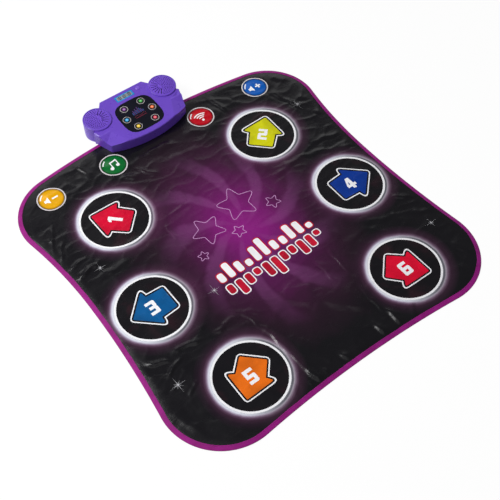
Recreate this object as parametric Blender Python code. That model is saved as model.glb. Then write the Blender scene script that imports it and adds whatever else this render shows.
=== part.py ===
"""Electronic dance mat with a two-speaker controller box.

Metres, +Z up. The origin is on the floor under the middle of the mat, +Y points at the controller,
and the dancer stands on the mat facing +Y. The mat is a flat sandwich of sheets whose ten round
pads travel down through windows in a foam spacer. The controller sits on the mat's back edge.
"""

import math

import bmesh
import bpy
from mathutils import Matrix, Vector

MM = 0.001

# Clearances
SEAT_GAP = 0.3 * MM
SIDE_GAP = 0.4 * MM

# Mat outline: corner circles joined by shallow arcs through the middle of each side
MAT_WAIST_X = 429 * MM
MAT_WAIST_Y = 90 * MM
MAT_FRONT_Y = -405 * MM
MAT_BACK_Y = 526 * MM
FRONT_CORNER_RADIUS = 151 * MM
FRONT_CORNER_SETBACK = 136 * MM
FRONT_CORNER_INSET = 127 * MM
FRONT_CORNER = (MAT_WAIST_X - FRONT_CORNER_INSET, MAT_FRONT_Y + FRONT_CORNER_SETBACK)
BACK_CORNER_RADIUS = 141 * MM
BACK_CORNER_SETBACK = 165 * MM
BACK_CORNER_INSET = 115 * MM
BACK_CORNER = (MAT_WAIST_X - BACK_CORNER_INSET, MAT_BACK_Y - BACK_CORNER_SETBACK)
CORNER_STEPS = 8
BRIDGE_STEPS = 3

# Mat layers, from the floor up
BASE_THICK = 1.2 * MM
FILM_THICK = 0.5 * MM
FOAM_THICK = 2.5 * MM
SHEET_THICK = 0.8 * MM
FOAM_INSET = 20 * MM
BINDING_THICK = 1.0 * MM
BINDING_WIDTH = 12 * MM
BINDING_ROUND = 0.6 * MM

# Arrow pads and function pads, placed by how far they stay from the mat's sides
PAD_LAP = 2.5 * MM
LAP_THICK = 0.5 * MM
PAD_WINDOW_GAP = 0.6 * MM
ARROW_PAD_RADIUS = 91.7 * MM
SIDE_PAD_WEB = 3.2 * MM
CORNER_PAD_MARGIN = 98.8 * MM
BACK_PAD_MARGIN = 157.8 * MM
FRONT_PAD_MARGIN = 29 * MM
SIDE_PAD_MARGIN = FOAM_INSET + SIDE_PAD_WEB + PAD_WINDOW_GAP + PAD_LAP
SIDE_PAD_X = MAT_WAIST_X - SIDE_PAD_MARGIN - ARROW_PAD_RADIUS
CORNER_PAD_X = MAT_WAIST_X - CORNER_PAD_MARGIN - ARROW_PAD_RADIUS
BACK_PAD_Y = MAT_BACK_Y - BACK_PAD_MARGIN - ARROW_PAD_RADIUS
FRONT_PAD_Y = MAT_FRONT_Y + FRONT_PAD_MARGIN + ARROW_PAD_RADIUS
FUNCTION_PAD_RADIUS = 38 * MM
FUNCTION_PAD_MARGIN = 55.6 * MM
FUNCTION_PAD_Y = MAT_BACK_Y - FUNCTION_PAD_MARGIN - FUNCTION_PAD_RADIUS
OUTER_FUNCTION_PAD_MARGIN = 58.1 * MM
FUNCTION_PAD_SPACING = 190 * MM
OUTER_FUNCTION_PAD_X = MAT_WAIST_X - OUTER_FUNCTION_PAD_MARGIN - FUNCTION_PAD_RADIUS
INNER_FUNCTION_PAD_X = OUTER_FUNCTION_PAD_X - FUNCTION_PAD_SPACING
ARROW_PAD_STEPS = 30
FUNCTION_PAD_STEPS = 18

# Controller case, seen from above about its own centre
CASE_SETBACK = 15 * MM
CASE_Y = MAT_BACK_Y + CASE_SETBACK
CASE_TILT = math.radians(5)
FACE_HEIGHT = 45 * MM
CASE_WALL = 2.5 * MM
FACE_THICK = 3.0 * MM
CASE_BACK = 70 * MM
SHOULDER_X = 68 * MM
FRONT_SAGITTA_Y = -96 * MM
FRONT_RADIUS = 290 * MM
CASE_CORNER = (121 * MM, -70 * MM)
CASE_CORNER_RADIUS = 8 * MM
CASE_HIP = (139 * MM, -13 * MM)
CASE_EDGE_ROUND = 3 * MM
PARTING_HEIGHT = 8.5 * MM
LIP_HEIGHT = 2.0 * MM
LIP_THICK = 1.2 * MM
LIP_GAP = 0.6 * MM
FLOOR_CLEARANCE = 1.5 * MM
FLOOR_THICK = 2.2 * MM
STEP_MARGIN = 2.5 * MM

# Speaker drums
DRUM_X = 106 * MM
DRUM_Y = 21 * MM
DRUM_RADIUS = 39 * MM
DRUM_RISE = 3 * MM
DRUM_CHAMFER = 1.5 * MM
DRUM_OVERLAP = 8 * MM
DRUM_STEPS = 36
DRUM_RIM = 3 * MM
GRILLE_RADIUS = DRUM_RADIUS - DRUM_RIM
GRILLE_THICK = 2.0 * MM
GRILLE_LEDGE = 3 * MM
GRILLE_HOLE_RADIUS = 1.3 * MM
GRILLE_FIRST_RING = 11 * MM
GRILLE_RING_STEP = 7 * MM
GRILLE_RING_COUNT = 4
GRILLE_HOLE_PITCH = 11.7 * MM
GRILLE_HOLE_SIDES = 6
GRILLE_FAN_MARGIN = math.radians(9)
GRILLE_SLOT_COUNT = 6
GRILLE_SLOT_SPREAD = math.radians(78)
GRILLE_SLOT_START = 9 * MM
GRILLE_SLOT_MARGIN = 1 * MM
GRILLE_SLOT_END = GRILLE_RADIUS - GRILLE_LEDGE - GRILLE_SLOT_MARGIN
GRILLE_SLOT_WIDTH = 1.8 * MM

# Loudspeakers under the grilles
SPEAKER_SIDE_GAP = 1.5 * MM
SPEAKER_RADIUS = DRUM_RADIUS - CASE_WALL - SPEAKER_SIDE_GAP
SPEAKER_RIM = 6 * MM
SPEAKER_RIM_THICK = 1.6 * MM
BASKET_DEPTH = 14 * MM
BASKET_THICK = 1.2 * MM
MAGNET_RADIUS = 16 * MM
MAGNET_THICK = 8 * MM
THROAT_STEP = 2 * MM
CONE_THICK = 0.8 * MM
CONE_DEPTH = 8 * MM
SURROUND_WIDTH = 4 * MM
DUST_CAP_RADIUS = 10 * MM
DUST_CAP_RISE = 3 * MM
CONE_TRAVEL = 0.6 * MM

# Sloping corner facets of the face
FACET_BACK = (99 * MM, -32 * MM)
FACET_FRONT = (76 * MM, -80 * MM)
FACET_SLOPE = math.radians(12)

# Slot-shaped recess in the front right wall
RECESS_X = 104 * MM
RECESS_LENGTH = 14 * MM
RECESS_HEIGHT = 3.2 * MM
RECESS_DEPTH = 1.4 * MM
RECESS_DROP = 7.5 * MM

# Control panel and its lights, in the plane of the face
PANEL_CENTRE_Y = -25 * MM
PANEL_HALF_WIDTH = 59 * MM
PANEL_HALF_HEIGHT = 55.5 * MM
PANEL_POWER = 3.6
PANEL_THICK = 1.2 * MM
PANEL_STEPS = 36
LENS_RADIUS = 7 * MM
LENS_CROWN = 0.6 * MM
LIGHT_HOLE_RADIUS = 5 * MM
OUTER_LENS_X = 41 * MM
INNER_LENS_X = 27 * MM
LENS_ROW_STEP = 35.3 * MM
LENS_CENTRES = {
    "purple": (-INNER_LENS_X, PANEL_CENTRE_Y + LENS_ROW_STEP),
    "green": (INNER_LENS_X, PANEL_CENTRE_Y + LENS_ROW_STEP),
    "blue": (-OUTER_LENS_X, PANEL_CENTRE_Y),
    "orange": (OUTER_LENS_X, PANEL_CENTRE_Y),
    "yellow": (-INNER_LENS_X, PANEL_CENTRE_Y - LENS_ROW_STEP),
    "red": (INNER_LENS_X, PANEL_CENTRE_Y - LENS_ROW_STEP),
}

# Display
DISPLAY_SETBACK = 20 * MM
DISPLAY_Y = CASE_BACK - DISPLAY_SETBACK
DISPLAY_WIDTH = 56 * MM
DISPLAY_HEIGHT = 20 * MM
DISPLAY_FLANGE = 2 * MM
DISPLAY_FLANGE_THICK = 1.5 * MM

# Power button
BUTTON_X = 47 * MM
BUTTON_SETBACK = 16 * MM
BUTTON_Y = CASE_BACK - BUTTON_SETBACK
BUTTON_RADIUS = 6.6 * MM
BUTTON_FLANGE = 1.8 * MM
BUTTON_FLANGE_THICK = 1.0 * MM
BUTTON_RISE = 1.6 * MM
BUTTON_WALL_RISE = 0.6 * MM
BUTTON_EDGE_RISE = 1.4 * MM
BUTTON_EDGE_ROUND = 1.3 * MM
BUTTON_FLAT_RADIUS = 2.6 * MM
BUTTON_TRAVEL = 1.0 * MM
BUTTON_STEM_RADIUS = 2.0 * MM

# Posts that the case screws and the mat screws run into
POST_RADIUS = 4.0 * MM
REAR_POST_SETBACK = 16 * MM
REAR_POST = (66 * MM, CASE_BACK - REAR_POST_SETBACK)
FRONT_POST = (70 * MM, -62 * MM)

# Circuit board, hung under the face
BOARD_DROP = 12 * MM
BOARD_THICK = 1.6 * MM
BOARD_SIDE_GAP = 5 * MM
BOARD_FRONT_GAP = 21 * MM
BOARD_BACK_GAP = 5.5 * MM
BOARD_HALF_WIDTH = REAR_POST[0] - POST_RADIUS - BOARD_SIDE_GAP
BOARD_FRONT = FRONT_SAGITTA_Y + BOARD_FRONT_GAP
BOARD_BACK = CASE_BACK - CASE_WALL - BOARD_BACK_GAP
BOARD_POST_INSET = 4 * MM
BOARD_POST_FRONT_INSET = 8 * MM
BOARD_POST_BACK_INSET = 26 * MM
BOARD_POST_X = BOARD_HALF_WIDTH - BOARD_POST_INSET
BOARD_POST_FRONT = BOARD_FRONT + BOARD_POST_FRONT_INSET
BOARD_POST_BACK = BOARD_BACK - BOARD_POST_BACK_INSET
BOARD_POST_RADIUS = 2.8 * MM
LIGHT_RADIUS = 2.5 * MM
LIGHT_HEIGHT = 7 * MM
SWITCH_SIZE = 6 * MM
SWITCH_HEIGHT = 3.5 * MM
CHIP_SIZES = ((0.0, -10 * MM, 14 * MM), (-18 * MM, 24 * MM, 9 * MM), (20 * MM, -40 * MM, 8 * MM))
CHIP_HEIGHT = 1.6 * MM

# Ribbon tail and its clamp
TAIL_WIDTH = 40 * MM
TAIL_Y = MAT_BACK_Y - FOAM_INSET
TAIL_LAP = 14 * MM
TAIL_BEND = 1.5 * MM
TAIL_BEND_STEPS = 3
TAIL_SLOT_GAP = 1.0 * MM
CLAMP_WIDTH = 48 * MM
CLAMP_DEPTH = 8 * MM
CLAMP_THICK = 3 * MM
CLAMP_PEG_RADIUS = 1.3 * MM
CLAMP_PEG_X = 22 * MM

# Battery bay: three AA cells side by side, each lying along X
CELL_RADIUS = 7.1 * MM
CELL_LENGTH = 50.5 * MM
CELL_NUB_RADIUS = 2.7 * MM
CELL_NUB_LENGTH = 1.0 * MM
CELL_EDGE = 1.0 * MM
CELL_COUNT = 3
CELL_PITCH = 15.2 * MM
BAY_MARGIN = 6.3 * MM
BAY_WALL = 1.8 * MM
CONTACT_SPACE = 4 * MM
CONTACT_THICK = 0.8 * MM
CONTACT_BOSS_RADIUS = 4.5 * MM
CONTACT_BOSS_TIP = 2.0 * MM
DOOR_THICK = 2.0 * MM
DOOR_NOSE = 1.5 * MM
DOOR_TAB_X = 15 * MM
DOOR_TAB_WIDTH = 8 * MM
DOOR_TAB_THICK = 1.0 * MM
DOOR_TAB_SLOT_HEIGHT = 3.5 * MM
DOOR_TONGUE_WIDTH = 14 * MM
DOOR_TONGUE_LENGTH = 6 * MM
DOOR_TONGUE_INSET = 0.02 * MM
DOOR_ROOT = 1.0 * MM

# Screws, posts and feet
SCREW_SHANK_RADIUS = 1.2 * MM
SCREW_HEAD_RADIUS = 2.8 * MM
SCREW_HEAD_HEIGHT = 1.0 * MM
SCREW_GRIP = 9 * MM
BOARD_SCREW_SHANK = 0.9 * MM
BOARD_SCREW_HEAD = 2.0 * MM
BOARD_SCREW_GRIP = 5 * MM
FOOT_RADIUS = 7 * MM
FOOT_THICK = 2.3 * MM
FOOT_EDGE = 1.0 * MM
FOOT_CENTRE = (106 * MM, 34 * MM)
SCREW_STEPS = 8
POST_STEPS = 10
LENS_STEPS = 16
CELL_STEPS = 14
SPEAKER_STEPS = 20

# Heights that follow from the layers
FILM_BOTTOM = BASE_THICK + SEAT_GAP
FILM_TOP = FILM_BOTTOM + FILM_THICK
FOAM_BOTTOM = FILM_TOP + SEAT_GAP
FOAM_TOP = FOAM_BOTTOM + FOAM_THICK
SHEET_BOTTOM = FOAM_TOP + SEAT_GAP
SHEET_TOP = SHEET_BOTTOM + SHEET_THICK
EDGE_SHEET_BOTTOM = BASE_THICK + SEAT_GAP
EDGE_SHEET_TOP = EDGE_SHEET_BOTTOM + SHEET_THICK
BINDING_TOP = EDGE_SHEET_TOP + SEAT_GAP + BINDING_THICK
SHELF_BOTTOM = SHEET_TOP + SEAT_GAP
REAR_FLOOR_TOP = FLOOR_CLEARANCE + FLOOR_THICK
PAD_LAP_TOP = SHEET_BOTTOM - SEAT_GAP
PAD_BOTTOM = PAD_LAP_TOP - LAP_THICK
PAD_TRAVEL = PAD_BOTTOM - FILM_TOP - SEAT_GAP
STEP_Y = MAT_BACK_Y + STEP_MARGIN
BAY_HALF_X = CELL_LENGTH / 2 + CONTACT_SPACE
BAY_HALF_Y = (CELL_PITCH * (CELL_COUNT - 1) + 2 * CELL_RADIUS) / 2 + SIDE_GAP
BAY_Y = STEP_Y + FLOOR_THICK + BAY_MARGIN + BAY_WALL + BAY_HALF_Y
CELL_Z = REAR_FLOOR_TOP + SEAT_GAP + SIDE_GAP + CELL_RADIUS
BAY_TOP = CELL_Z + CELL_RADIUS + SIDE_GAP
OVERSHOOT = 10 * MM


# Scene and object helpers


def clear_scene():
    for old in list(bpy.data.objects):
        bpy.data.objects.remove(old, do_unlink=True)


def make_material(name, colour, roughness, metallic=0.0):
    material = bpy.data.materials.new(name)
    material.use_nodes = True
    shader = material.node_tree.nodes["Principled BSDF"]
    shader.inputs["Base Color"].default_value = (*colour, 1.0)
    shader.inputs["Roughness"].default_value = roughness
    shader.inputs["Metallic"].default_value = metallic
    material.diffuse_color = (*colour, 1.0)
    return material


def add_object(name, bm, material=None, location=(0, 0, 0), parent=None):
    """Closes the bmesh's normals outward and makes it an object."""
    bmesh.ops.recalc_face_normals(bm, faces=bm.faces)
    mesh = bpy.data.meshes.new(name)
    bm.to_mesh(mesh)
    bm.free()
    mesh.shade_smooth()
    mesh.set_sharp_from_angle(angle=math.radians(32))
    if material:
        mesh.materials.append(material)
    thing = bpy.data.objects.new(name, mesh)
    bpy.context.collection.objects.link(thing)
    thing.location = location
    thing.parent = parent
    return thing


def add_tool(name, bm, location=(0, 0, 0), parent=None):
    """A cutter or filler that only serves a Boolean."""
    tool = add_object(name, bm, None, location, parent)
    tool.hide_render = True
    tool.display_type = "WIRE"
    return tool


def combine(target, tool, operation):
    modifier = target.modifiers.new(f"{operation.lower()} {tool.name}", "BOOLEAN")
    modifier.operation = operation
    modifier.solver = "EXACT"
    modifier.object = tool


def cut(target, tool):
    combine(target, tool, "DIFFERENCE")


def join(target, tool):
    combine(target, tool, "UNION")


# Shape helpers


def skin(bm, rings, cyclic=False):
    """Side faces between rings of equal length; cyclic joins the last ring to the first."""
    made = [[bm.verts.new(point) for point in ring] for ring in rings]
    pairs = list(zip(made, made[1:]))
    if cyclic:
        pairs.append((made[-1], made[0]))
    for low, high in pairs:
        for i in range(len(low)):
            j = (i + 1) % len(low)
            bm.faces.new((low[i], low[j], high[j], high[i]))
    return made


def loft(rings):
    """A closed solid through rings of equal length, with flat ends."""
    bm = bmesh.new()
    made = skin(bm, rings)
    bm.faces.new(list(reversed(made[0])))
    bm.faces.new(made[-1])
    return bm


def at_height(outline, height):
    return [(x, y, height) for x, y in outline]


def prism(outline, low, high):
    return loft([at_height(outline, low), at_height(outline, high)])


def box(centre, size):
    bm = bmesh.new()
    bmesh.ops.create_cube(bm, size=1.0)
    bmesh.ops.scale(bm, vec=size, verts=bm.verts)
    bmesh.ops.translate(bm, vec=centre, verts=bm.verts)
    return bm


def circle(centre, radius, steps, start=0.0):
    angles = [start + 2 * math.pi * i / steps for i in range(steps)]
    return [(centre[0] + radius * math.cos(a), centre[1] + radius * math.sin(a)) for a in angles]


def revolve(profile, steps):
    """Spins a closed profile of (radius, height) points round Z."""
    bm = bmesh.new()
    verts = [bm.verts.new((radius, 0, height)) for radius, height in profile]
    edges = [
        bm.edges.new((a, b))
        for a, b in zip(verts, verts[1:] + verts[:1])
        if a.co.x > 0 or b.co.x > 0
    ]
    bmesh.ops.spin(
        bm,
        geom=verts + edges,
        cent=(0, 0, 0),
        axis=(0, 0, 1),
        angle=2 * math.pi,
        steps=steps,
        use_merge=True,
    )
    bmesh.ops.remove_doubles(bm, verts=bm.verts, dist=1e-6)
    return bm


def merge(parts):
    """One bmesh that holds several."""
    whole = bmesh.new()
    for part in parts:
        mesh = bpy.data.meshes.new("part")
        part.to_mesh(mesh)
        part.free()
        whole.from_mesh(mesh)
        bpy.data.meshes.remove(mesh)
    return whole


def moved(bm, offset):
    bmesh.ops.translate(bm, vec=offset, verts=bm.verts)
    return bm


def offset_outline(outline, distance):
    """Moves each edge of an anticlockwise outline inward by distance."""
    result = []
    for i, point in enumerate(outline):
        here = Vector(point)
        before = (here - Vector(outline[i - 1])).normalized()
        after = (Vector(outline[(i + 1) % len(outline)]) - here).normalized()
        first = Vector((-before.y, before.x))
        second = Vector((-after.y, after.x))
        result.append(tuple(here + (first + second) * distance / (1 + first.dot(second))))
    return result


def turn(start, end, steps):
    """Unit vectors that turn the short way from start to end, both included."""
    first = math.atan2(start.y, start.x)
    sweep = math.atan2(start.cross(end), start.dot(end))
    angles = [first + sweep * i / steps for i in range(steps + 1)]
    return [Vector((math.cos(a), math.sin(a))) for a in angles]


# Mat outline


def bridge(corner, corner_radius, middle, normal):
    """The arc through middle, square to normal, that runs into the corner circle.

    Returns its signed radius, its centre and the direction in which the two circles meet.
    """
    reach = middle - corner
    along = reach.dot(normal)
    radius = (reach.length_squared - corner_radius**2) / (2 * (corner_radius - along))
    centre = middle + normal * radius
    return radius, centre, (centre - corner) / (radius + corner_radius)


def bridge_points(radius, centre, start, end, inset):
    return [centre - w * (radius + inset) for w in turn(start, end, BRIDGE_STEPS)]


def mat_outline(inset=0.0):
    """The mat's edge moved inward, anticlockwise from the middle of the front."""
    right, front, back = Vector((1, 0)), Vector((0, -1)), Vector((0, 1))
    waist = Vector((MAT_WAIST_X, MAT_WAIST_Y))
    front_middle = Vector((0, MAT_FRONT_Y))
    back_middle = Vector((0, MAT_BACK_Y))
    sides = []
    for corner, radius, entry, entry_normal, leave, leave_normal in (
        (Vector(FRONT_CORNER), FRONT_CORNER_RADIUS, front_middle, front, waist, right),
        (Vector(BACK_CORNER), BACK_CORNER_RADIUS, waist, right, back_middle, back),
    ):
        first = bridge(corner, radius, entry, entry_normal)
        second = bridge(corner, radius, leave, leave_normal)
        sides += bridge_points(first[0], first[1], entry_normal, first[2], inset)[:-1]
        sides += [corner + w * (radius - inset) for w in turn(first[2], second[2], CORNER_STEPS)]
        sides += bridge_points(second[0], second[1], second[2], leave_normal, inset)[1:-1]
    sides.append(back_middle - back * inset)
    half = [(p.x, p.y) for p in sides]
    mirrored = [(-x, y) for x, y in reversed(half[1:-1])]
    return half + mirrored


# Pads


def arrow_pads():
    """Number and centre of each arrow pad, from the back left to the front right."""
    return {
        1: (-CORNER_PAD_X, BACK_PAD_Y),
        2: (CORNER_PAD_X, BACK_PAD_Y),
        3: (-SIDE_PAD_X, 0),
        4: (SIDE_PAD_X, 0),
        5: (-CORNER_PAD_X, FRONT_PAD_Y),
        6: (CORNER_PAD_X, FRONT_PAD_Y),
    }


def function_pads():
    """Name and centre of each small pad, from the left."""
    return {
        "volume_down_pad": (-OUTER_FUNCTION_PAD_X, FUNCTION_PAD_Y),
        "mode_pad": (-INNER_FUNCTION_PAD_X, FUNCTION_PAD_Y),
        "wireless_link_pad": (INNER_FUNCTION_PAD_X, FUNCTION_PAD_Y),
        "volume_up_pad": (OUTER_FUNCTION_PAD_X, FUNCTION_PAD_Y),
    }


def all_pads():
    """Name, centre, radius and facets of all ten pads."""
    pads = [
        (f"arrow_pad_{number}", centre, ARROW_PAD_RADIUS, ARROW_PAD_STEPS)
        for number, centre in arrow_pads().items()
    ]
    pads += [
        (name, centre, FUNCTION_PAD_RADIUS, FUNCTION_PAD_STEPS)
        for name, centre in function_pads().items()
    ]
    return pads


def build_pads(material_of):
    for name, (x, y), radius, steps in all_pads():
        top_radius = radius - SIDE_GAP
        lap_radius = radius + PAD_LAP
        profile = [
            (0, PAD_BOTTOM),
            (lap_radius, PAD_BOTTOM),
            (lap_radius, PAD_LAP_TOP),
            (top_radius, PAD_LAP_TOP),
            (top_radius, SHEET_TOP),
            (0, SHEET_TOP),
        ]
        add_object(name, revolve(profile, steps), material_of[name], location=(x, y, 0))


# Mat layers


def pad_windows(widening, low, high):
    """Cutters for the ten pad windows, each wider than its pad by widening."""
    return merge(
        prism(circle(centre, radius + widening, steps), low, high)
        for _, centre, radius, steps in all_pads()
    )


def mat_screw_places():
    return [(side * FRONT_POST[0], CASE_Y + FRONT_POST[1]) for side in (-1, 1)]


def mat_screw_holes(radius, low, high):
    return merge(
        prism(circle(place, radius, SCREW_STEPS), low, high) for place in mat_screw_places()
    )


def tail_slot(low, high):
    size = (TAIL_WIDTH + 2 * TAIL_SLOT_GAP, FILM_THICK + 2 * TAIL_SLOT_GAP, high - low)
    return box((0, TAIL_Y, (low + high) / 2), size)


def build_base_sheet(material):
    sheet = add_object(
        "base_sheet", prism(mat_outline(BINDING_WIDTH + SEAT_GAP), 0, BASE_THICK), material
    )
    holes = mat_screw_holes(SCREW_HEAD_RADIUS + SEAT_GAP, -OVERSHOOT, OVERSHOOT)
    cut(sheet, add_tool("base_screw_holes", holes))


def build_lower_film(material):
    film = add_object(
        "lower_contact_film", prism(mat_outline(FOAM_INSET), FILM_BOTTOM, FILM_TOP), material
    )
    holes = mat_screw_holes(SCREW_SHANK_RADIUS + SEAT_GAP, 0, OVERSHOOT)
    cut(film, add_tool("film_screw_holes", holes))
    join(film, add_tool("ribbon_tail", ribbon_tail()))


def ribbon_tail():
    """A strip that leaves the film, climbs into the case and lies under the board."""
    middle = (FILM_BOTTOM + FILM_TOP) / 2
    board_under = face_height(TAIL_Y) - (BOARD_DROP + BOARD_THICK) / math.cos(CASE_TILT)
    top = board_under - SEAT_GAP - FILM_THICK / 2
    foot = Vector((TAIL_Y - TAIL_LAP, middle))
    knee = Vector((TAIL_Y, middle))
    crown = Vector((TAIL_Y, top))
    end = crown + Vector((-math.cos(CASE_TILT), -math.sin(CASE_TILT))) * TAIL_LAP
    centre_line = [foot]
    for before, turn_point, after in ((foot, knee, crown), (knee, crown, end)):
        start = turn_point + (before - turn_point).normalized() * TAIL_BEND
        stop = turn_point + (after - turn_point).normalized() * TAIL_BEND
        for i in range(TAIL_BEND_STEPS + 1):
            t = i / TAIL_BEND_STEPS
            near = start.lerp(turn_point, t)
            far = turn_point.lerp(stop, t)
            centre_line.append(near.lerp(far, t))
    centre_line.append(end)
    normals = []
    for i in range(len(centre_line)):
        before = centre_line[max(i - 1, 0)]
        after = centre_line[min(i + 1, len(centre_line) - 1)]
        along = (after - before).normalized()
        normals.append(Vector((-along.y, along.x)) * FILM_THICK / 2)
    one_side = [p + n for p, n in zip(centre_line, normals)]
    other_side = [p - n for p, n in zip(centre_line, normals)]
    section = one_side + other_side[::-1]
    half = TAIL_WIDTH / 2
    return loft([[(x, p.x, p.y) for p in section] for x in (-half, half)])


def build_foam_spacer(material):
    foam = add_object(
        "foam_spacer", prism(mat_outline(FOAM_INSET), FOAM_BOTTOM, FOAM_TOP), material
    )
    cut(foam, add_tool("foam_windows", pad_windows(PAD_LAP + PAD_WINDOW_GAP, 0, OVERSHOOT)))
    holes = mat_screw_holes(SCREW_SHANK_RADIUS + SEAT_GAP, 0, OVERSHOOT)
    cut(foam, add_tool("foam_screw_holes", holes))
    cut(foam, add_tool("foam_tail_slot", tail_slot(0, OVERSHOOT)))


def build_top_sheet(material):
    """The printed sheet, drawn down all round where it runs into the binding."""
    edge = mat_outline(BINDING_THICK + SEAT_GAP)
    lap = mat_outline(BINDING_WIDTH + SEAT_GAP)
    shoulder = mat_outline(FOAM_INSET - SEAT_GAP)
    rings = [
        at_height(shoulder, SHEET_BOTTOM),
        at_height(lap, EDGE_SHEET_BOTTOM),
        at_height(edge, EDGE_SHEET_BOTTOM),
        at_height(edge, EDGE_SHEET_TOP),
        at_height(lap, EDGE_SHEET_TOP),
        at_height(shoulder, SHEET_TOP),
    ]
    sheet = add_object("top_sheet", loft(rings), material)
    cut(sheet, add_tool("pad_openings", pad_windows(0, 0, OVERSHOOT)))
    holes = mat_screw_holes(SCREW_SHANK_RADIUS + SEAT_GAP, 0, OVERSHOOT)
    cut(sheet, add_tool("sheet_screw_holes", holes))
    cut(sheet, add_tool("sheet_tail_slot", tail_slot(0, OVERSHOOT)))


def build_edge_binding(material):
    """A ribbon folded round the edge, holding the top sheet's rim in its fold."""
    section = [
        (BINDING_ROUND, 0),
        (0, BINDING_ROUND),
        (0, BINDING_TOP - BINDING_ROUND),
        (BINDING_ROUND, BINDING_TOP),
        (BINDING_WIDTH, BINDING_TOP),
        (BINDING_WIDTH, BINDING_TOP - BINDING_THICK),
        (BINDING_THICK, BINDING_TOP - BINDING_THICK),
        (BINDING_THICK, BASE_THICK),
        (BINDING_WIDTH, BASE_THICK),
        (BINDING_WIDTH, 0),
    ]
    bm = bmesh.new()
    skin(bm, [at_height(mat_outline(inset), height) for inset, height in section], cyclic=True)
    add_object("edge_binding", bm, material)


# Case outline and face


def face_height(y):
    """Height of the tilted face above the floor at a place along Y."""
    return FACE_HEIGHT + math.tan(CASE_TILT) * (y - CASE_Y)


def rounded_corner(before, corner, after, radius, steps):
    """An arc that rounds the corner between two straight runs."""
    corner = Vector(corner)
    to_before = (Vector(before) - corner).normalized()
    to_after = (Vector(after) - corner).normalized()
    half_angle = to_before.angle(to_after) / 2
    centre = corner + (to_before + to_after).normalized() * radius / math.sin(half_angle)
    start = (corner + to_before * radius / math.tan(half_angle) - centre).normalized()
    end = (corner + to_after * radius / math.tan(half_angle) - centre).normalized()
    return [tuple(centre + w * radius) for w in turn(start, end, steps)]


def case_half(with_drum):
    """Right half of the case's plan, from the middle of the front to the middle of the back."""
    arc_end = CASE_CORNER[0] - CASE_CORNER_RADIUS
    front = [
        (x, FRONT_SAGITTA_Y + x * x / (2 * FRONT_RADIUS))
        for x in (arc_end * i / 6 for i in range(6))
    ]
    corner = rounded_corner(front[-1], CASE_CORNER, CASE_HIP, CASE_CORNER_RADIUS, 4)
    drum = Vector((DRUM_X, DRUM_Y))
    shoulder = (SHOULDER_X, CASE_BACK)
    to_hip = (Vector(CASE_HIP) - drum).normalized()
    to_shoulder = (Vector(shoulder) - drum).normalized()
    if with_drum:
        start = math.atan2(to_hip.y, to_hip.x)
        stop = math.atan2(to_shoulder.y, to_shoulder.x)
        steps = DRUM_STEPS // 2
        round_drum = [
            (
                DRUM_X + DRUM_RADIUS * math.cos(start + (stop - start) * i / steps),
                DRUM_Y + DRUM_RADIUS * math.sin(start + (stop - start) * i / steps),
            )
            for i in range(steps + 1)
        ]
    else:
        deep = DRUM_RADIUS - DRUM_OVERLAP
        round_drum = [tuple(drum + to_hip * deep), tuple(drum), tuple(drum + to_shoulder * deep)]
    return front + corner + [CASE_HIP] + round_drum + [shoulder, (0, CASE_BACK)]


def case_outline(with_drum, inset=0.0):
    half = case_half(with_drum)
    whole = half + [(-x, y) for x, y in reversed(half[1:-1])]
    return [(x, y + CASE_Y) for x, y in offset_outline(whole, inset)]


def drum_outline(side, radius):
    return circle((side * DRUM_X, CASE_Y + DRUM_Y), radius, DRUM_STEPS)


def up_to_face(outline, low, drop, edge_round=0.0, round_steps=1):
    """A loft from height low to a plane that lies drop under the face, its top edge rounded."""
    rings = [at_height(outline, low)]
    for i in range(round_steps + 1):
        angle = math.pi / 2 * i / round_steps
        inset = edge_round * (1 - math.cos(angle))
        fall = edge_round * (1 - math.sin(angle))
        ring = offset_outline(outline, inset) if inset else outline
        rings.append([(x, y, face_height(y) - drop - fall) for x, y in ring])
        if not edge_round:
            break
    return loft(rings)


def facet_wedge(side, drop):
    """Everything above a corner facet that lies drop under its real place."""
    back, front = Vector(FACET_BACK), Vector(FACET_FRONT)
    crease = (front - back).normalized()
    outward = Vector((-crease.y, crease.x))
    reach = DRUM_X + 2 * DRUM_RADIUS
    below = FRONT_SAGITTA_Y - OVERSHOOT
    inward = Vector((-OVERSHOOT, 0))
    far_front = back + crease * (below - back.y) / crease.y + inward
    plan = [far_front, Vector((reach, below)), Vector((reach, back.y)), back + inward]
    low, high = [], []
    for p in plan:
        fall = math.tan(FACET_SLOPE) * (p - back).dot(outward)
        place = (side * p.x, p.y + CASE_Y)
        low.append((*place, face_height(place[1]) - fall - drop))
        high.append((*place, 2 * FACE_HEIGHT))
    if side < 0:
        low.reverse()
        high.reverse()
    return loft([low, high])


# Upper shell


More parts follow.
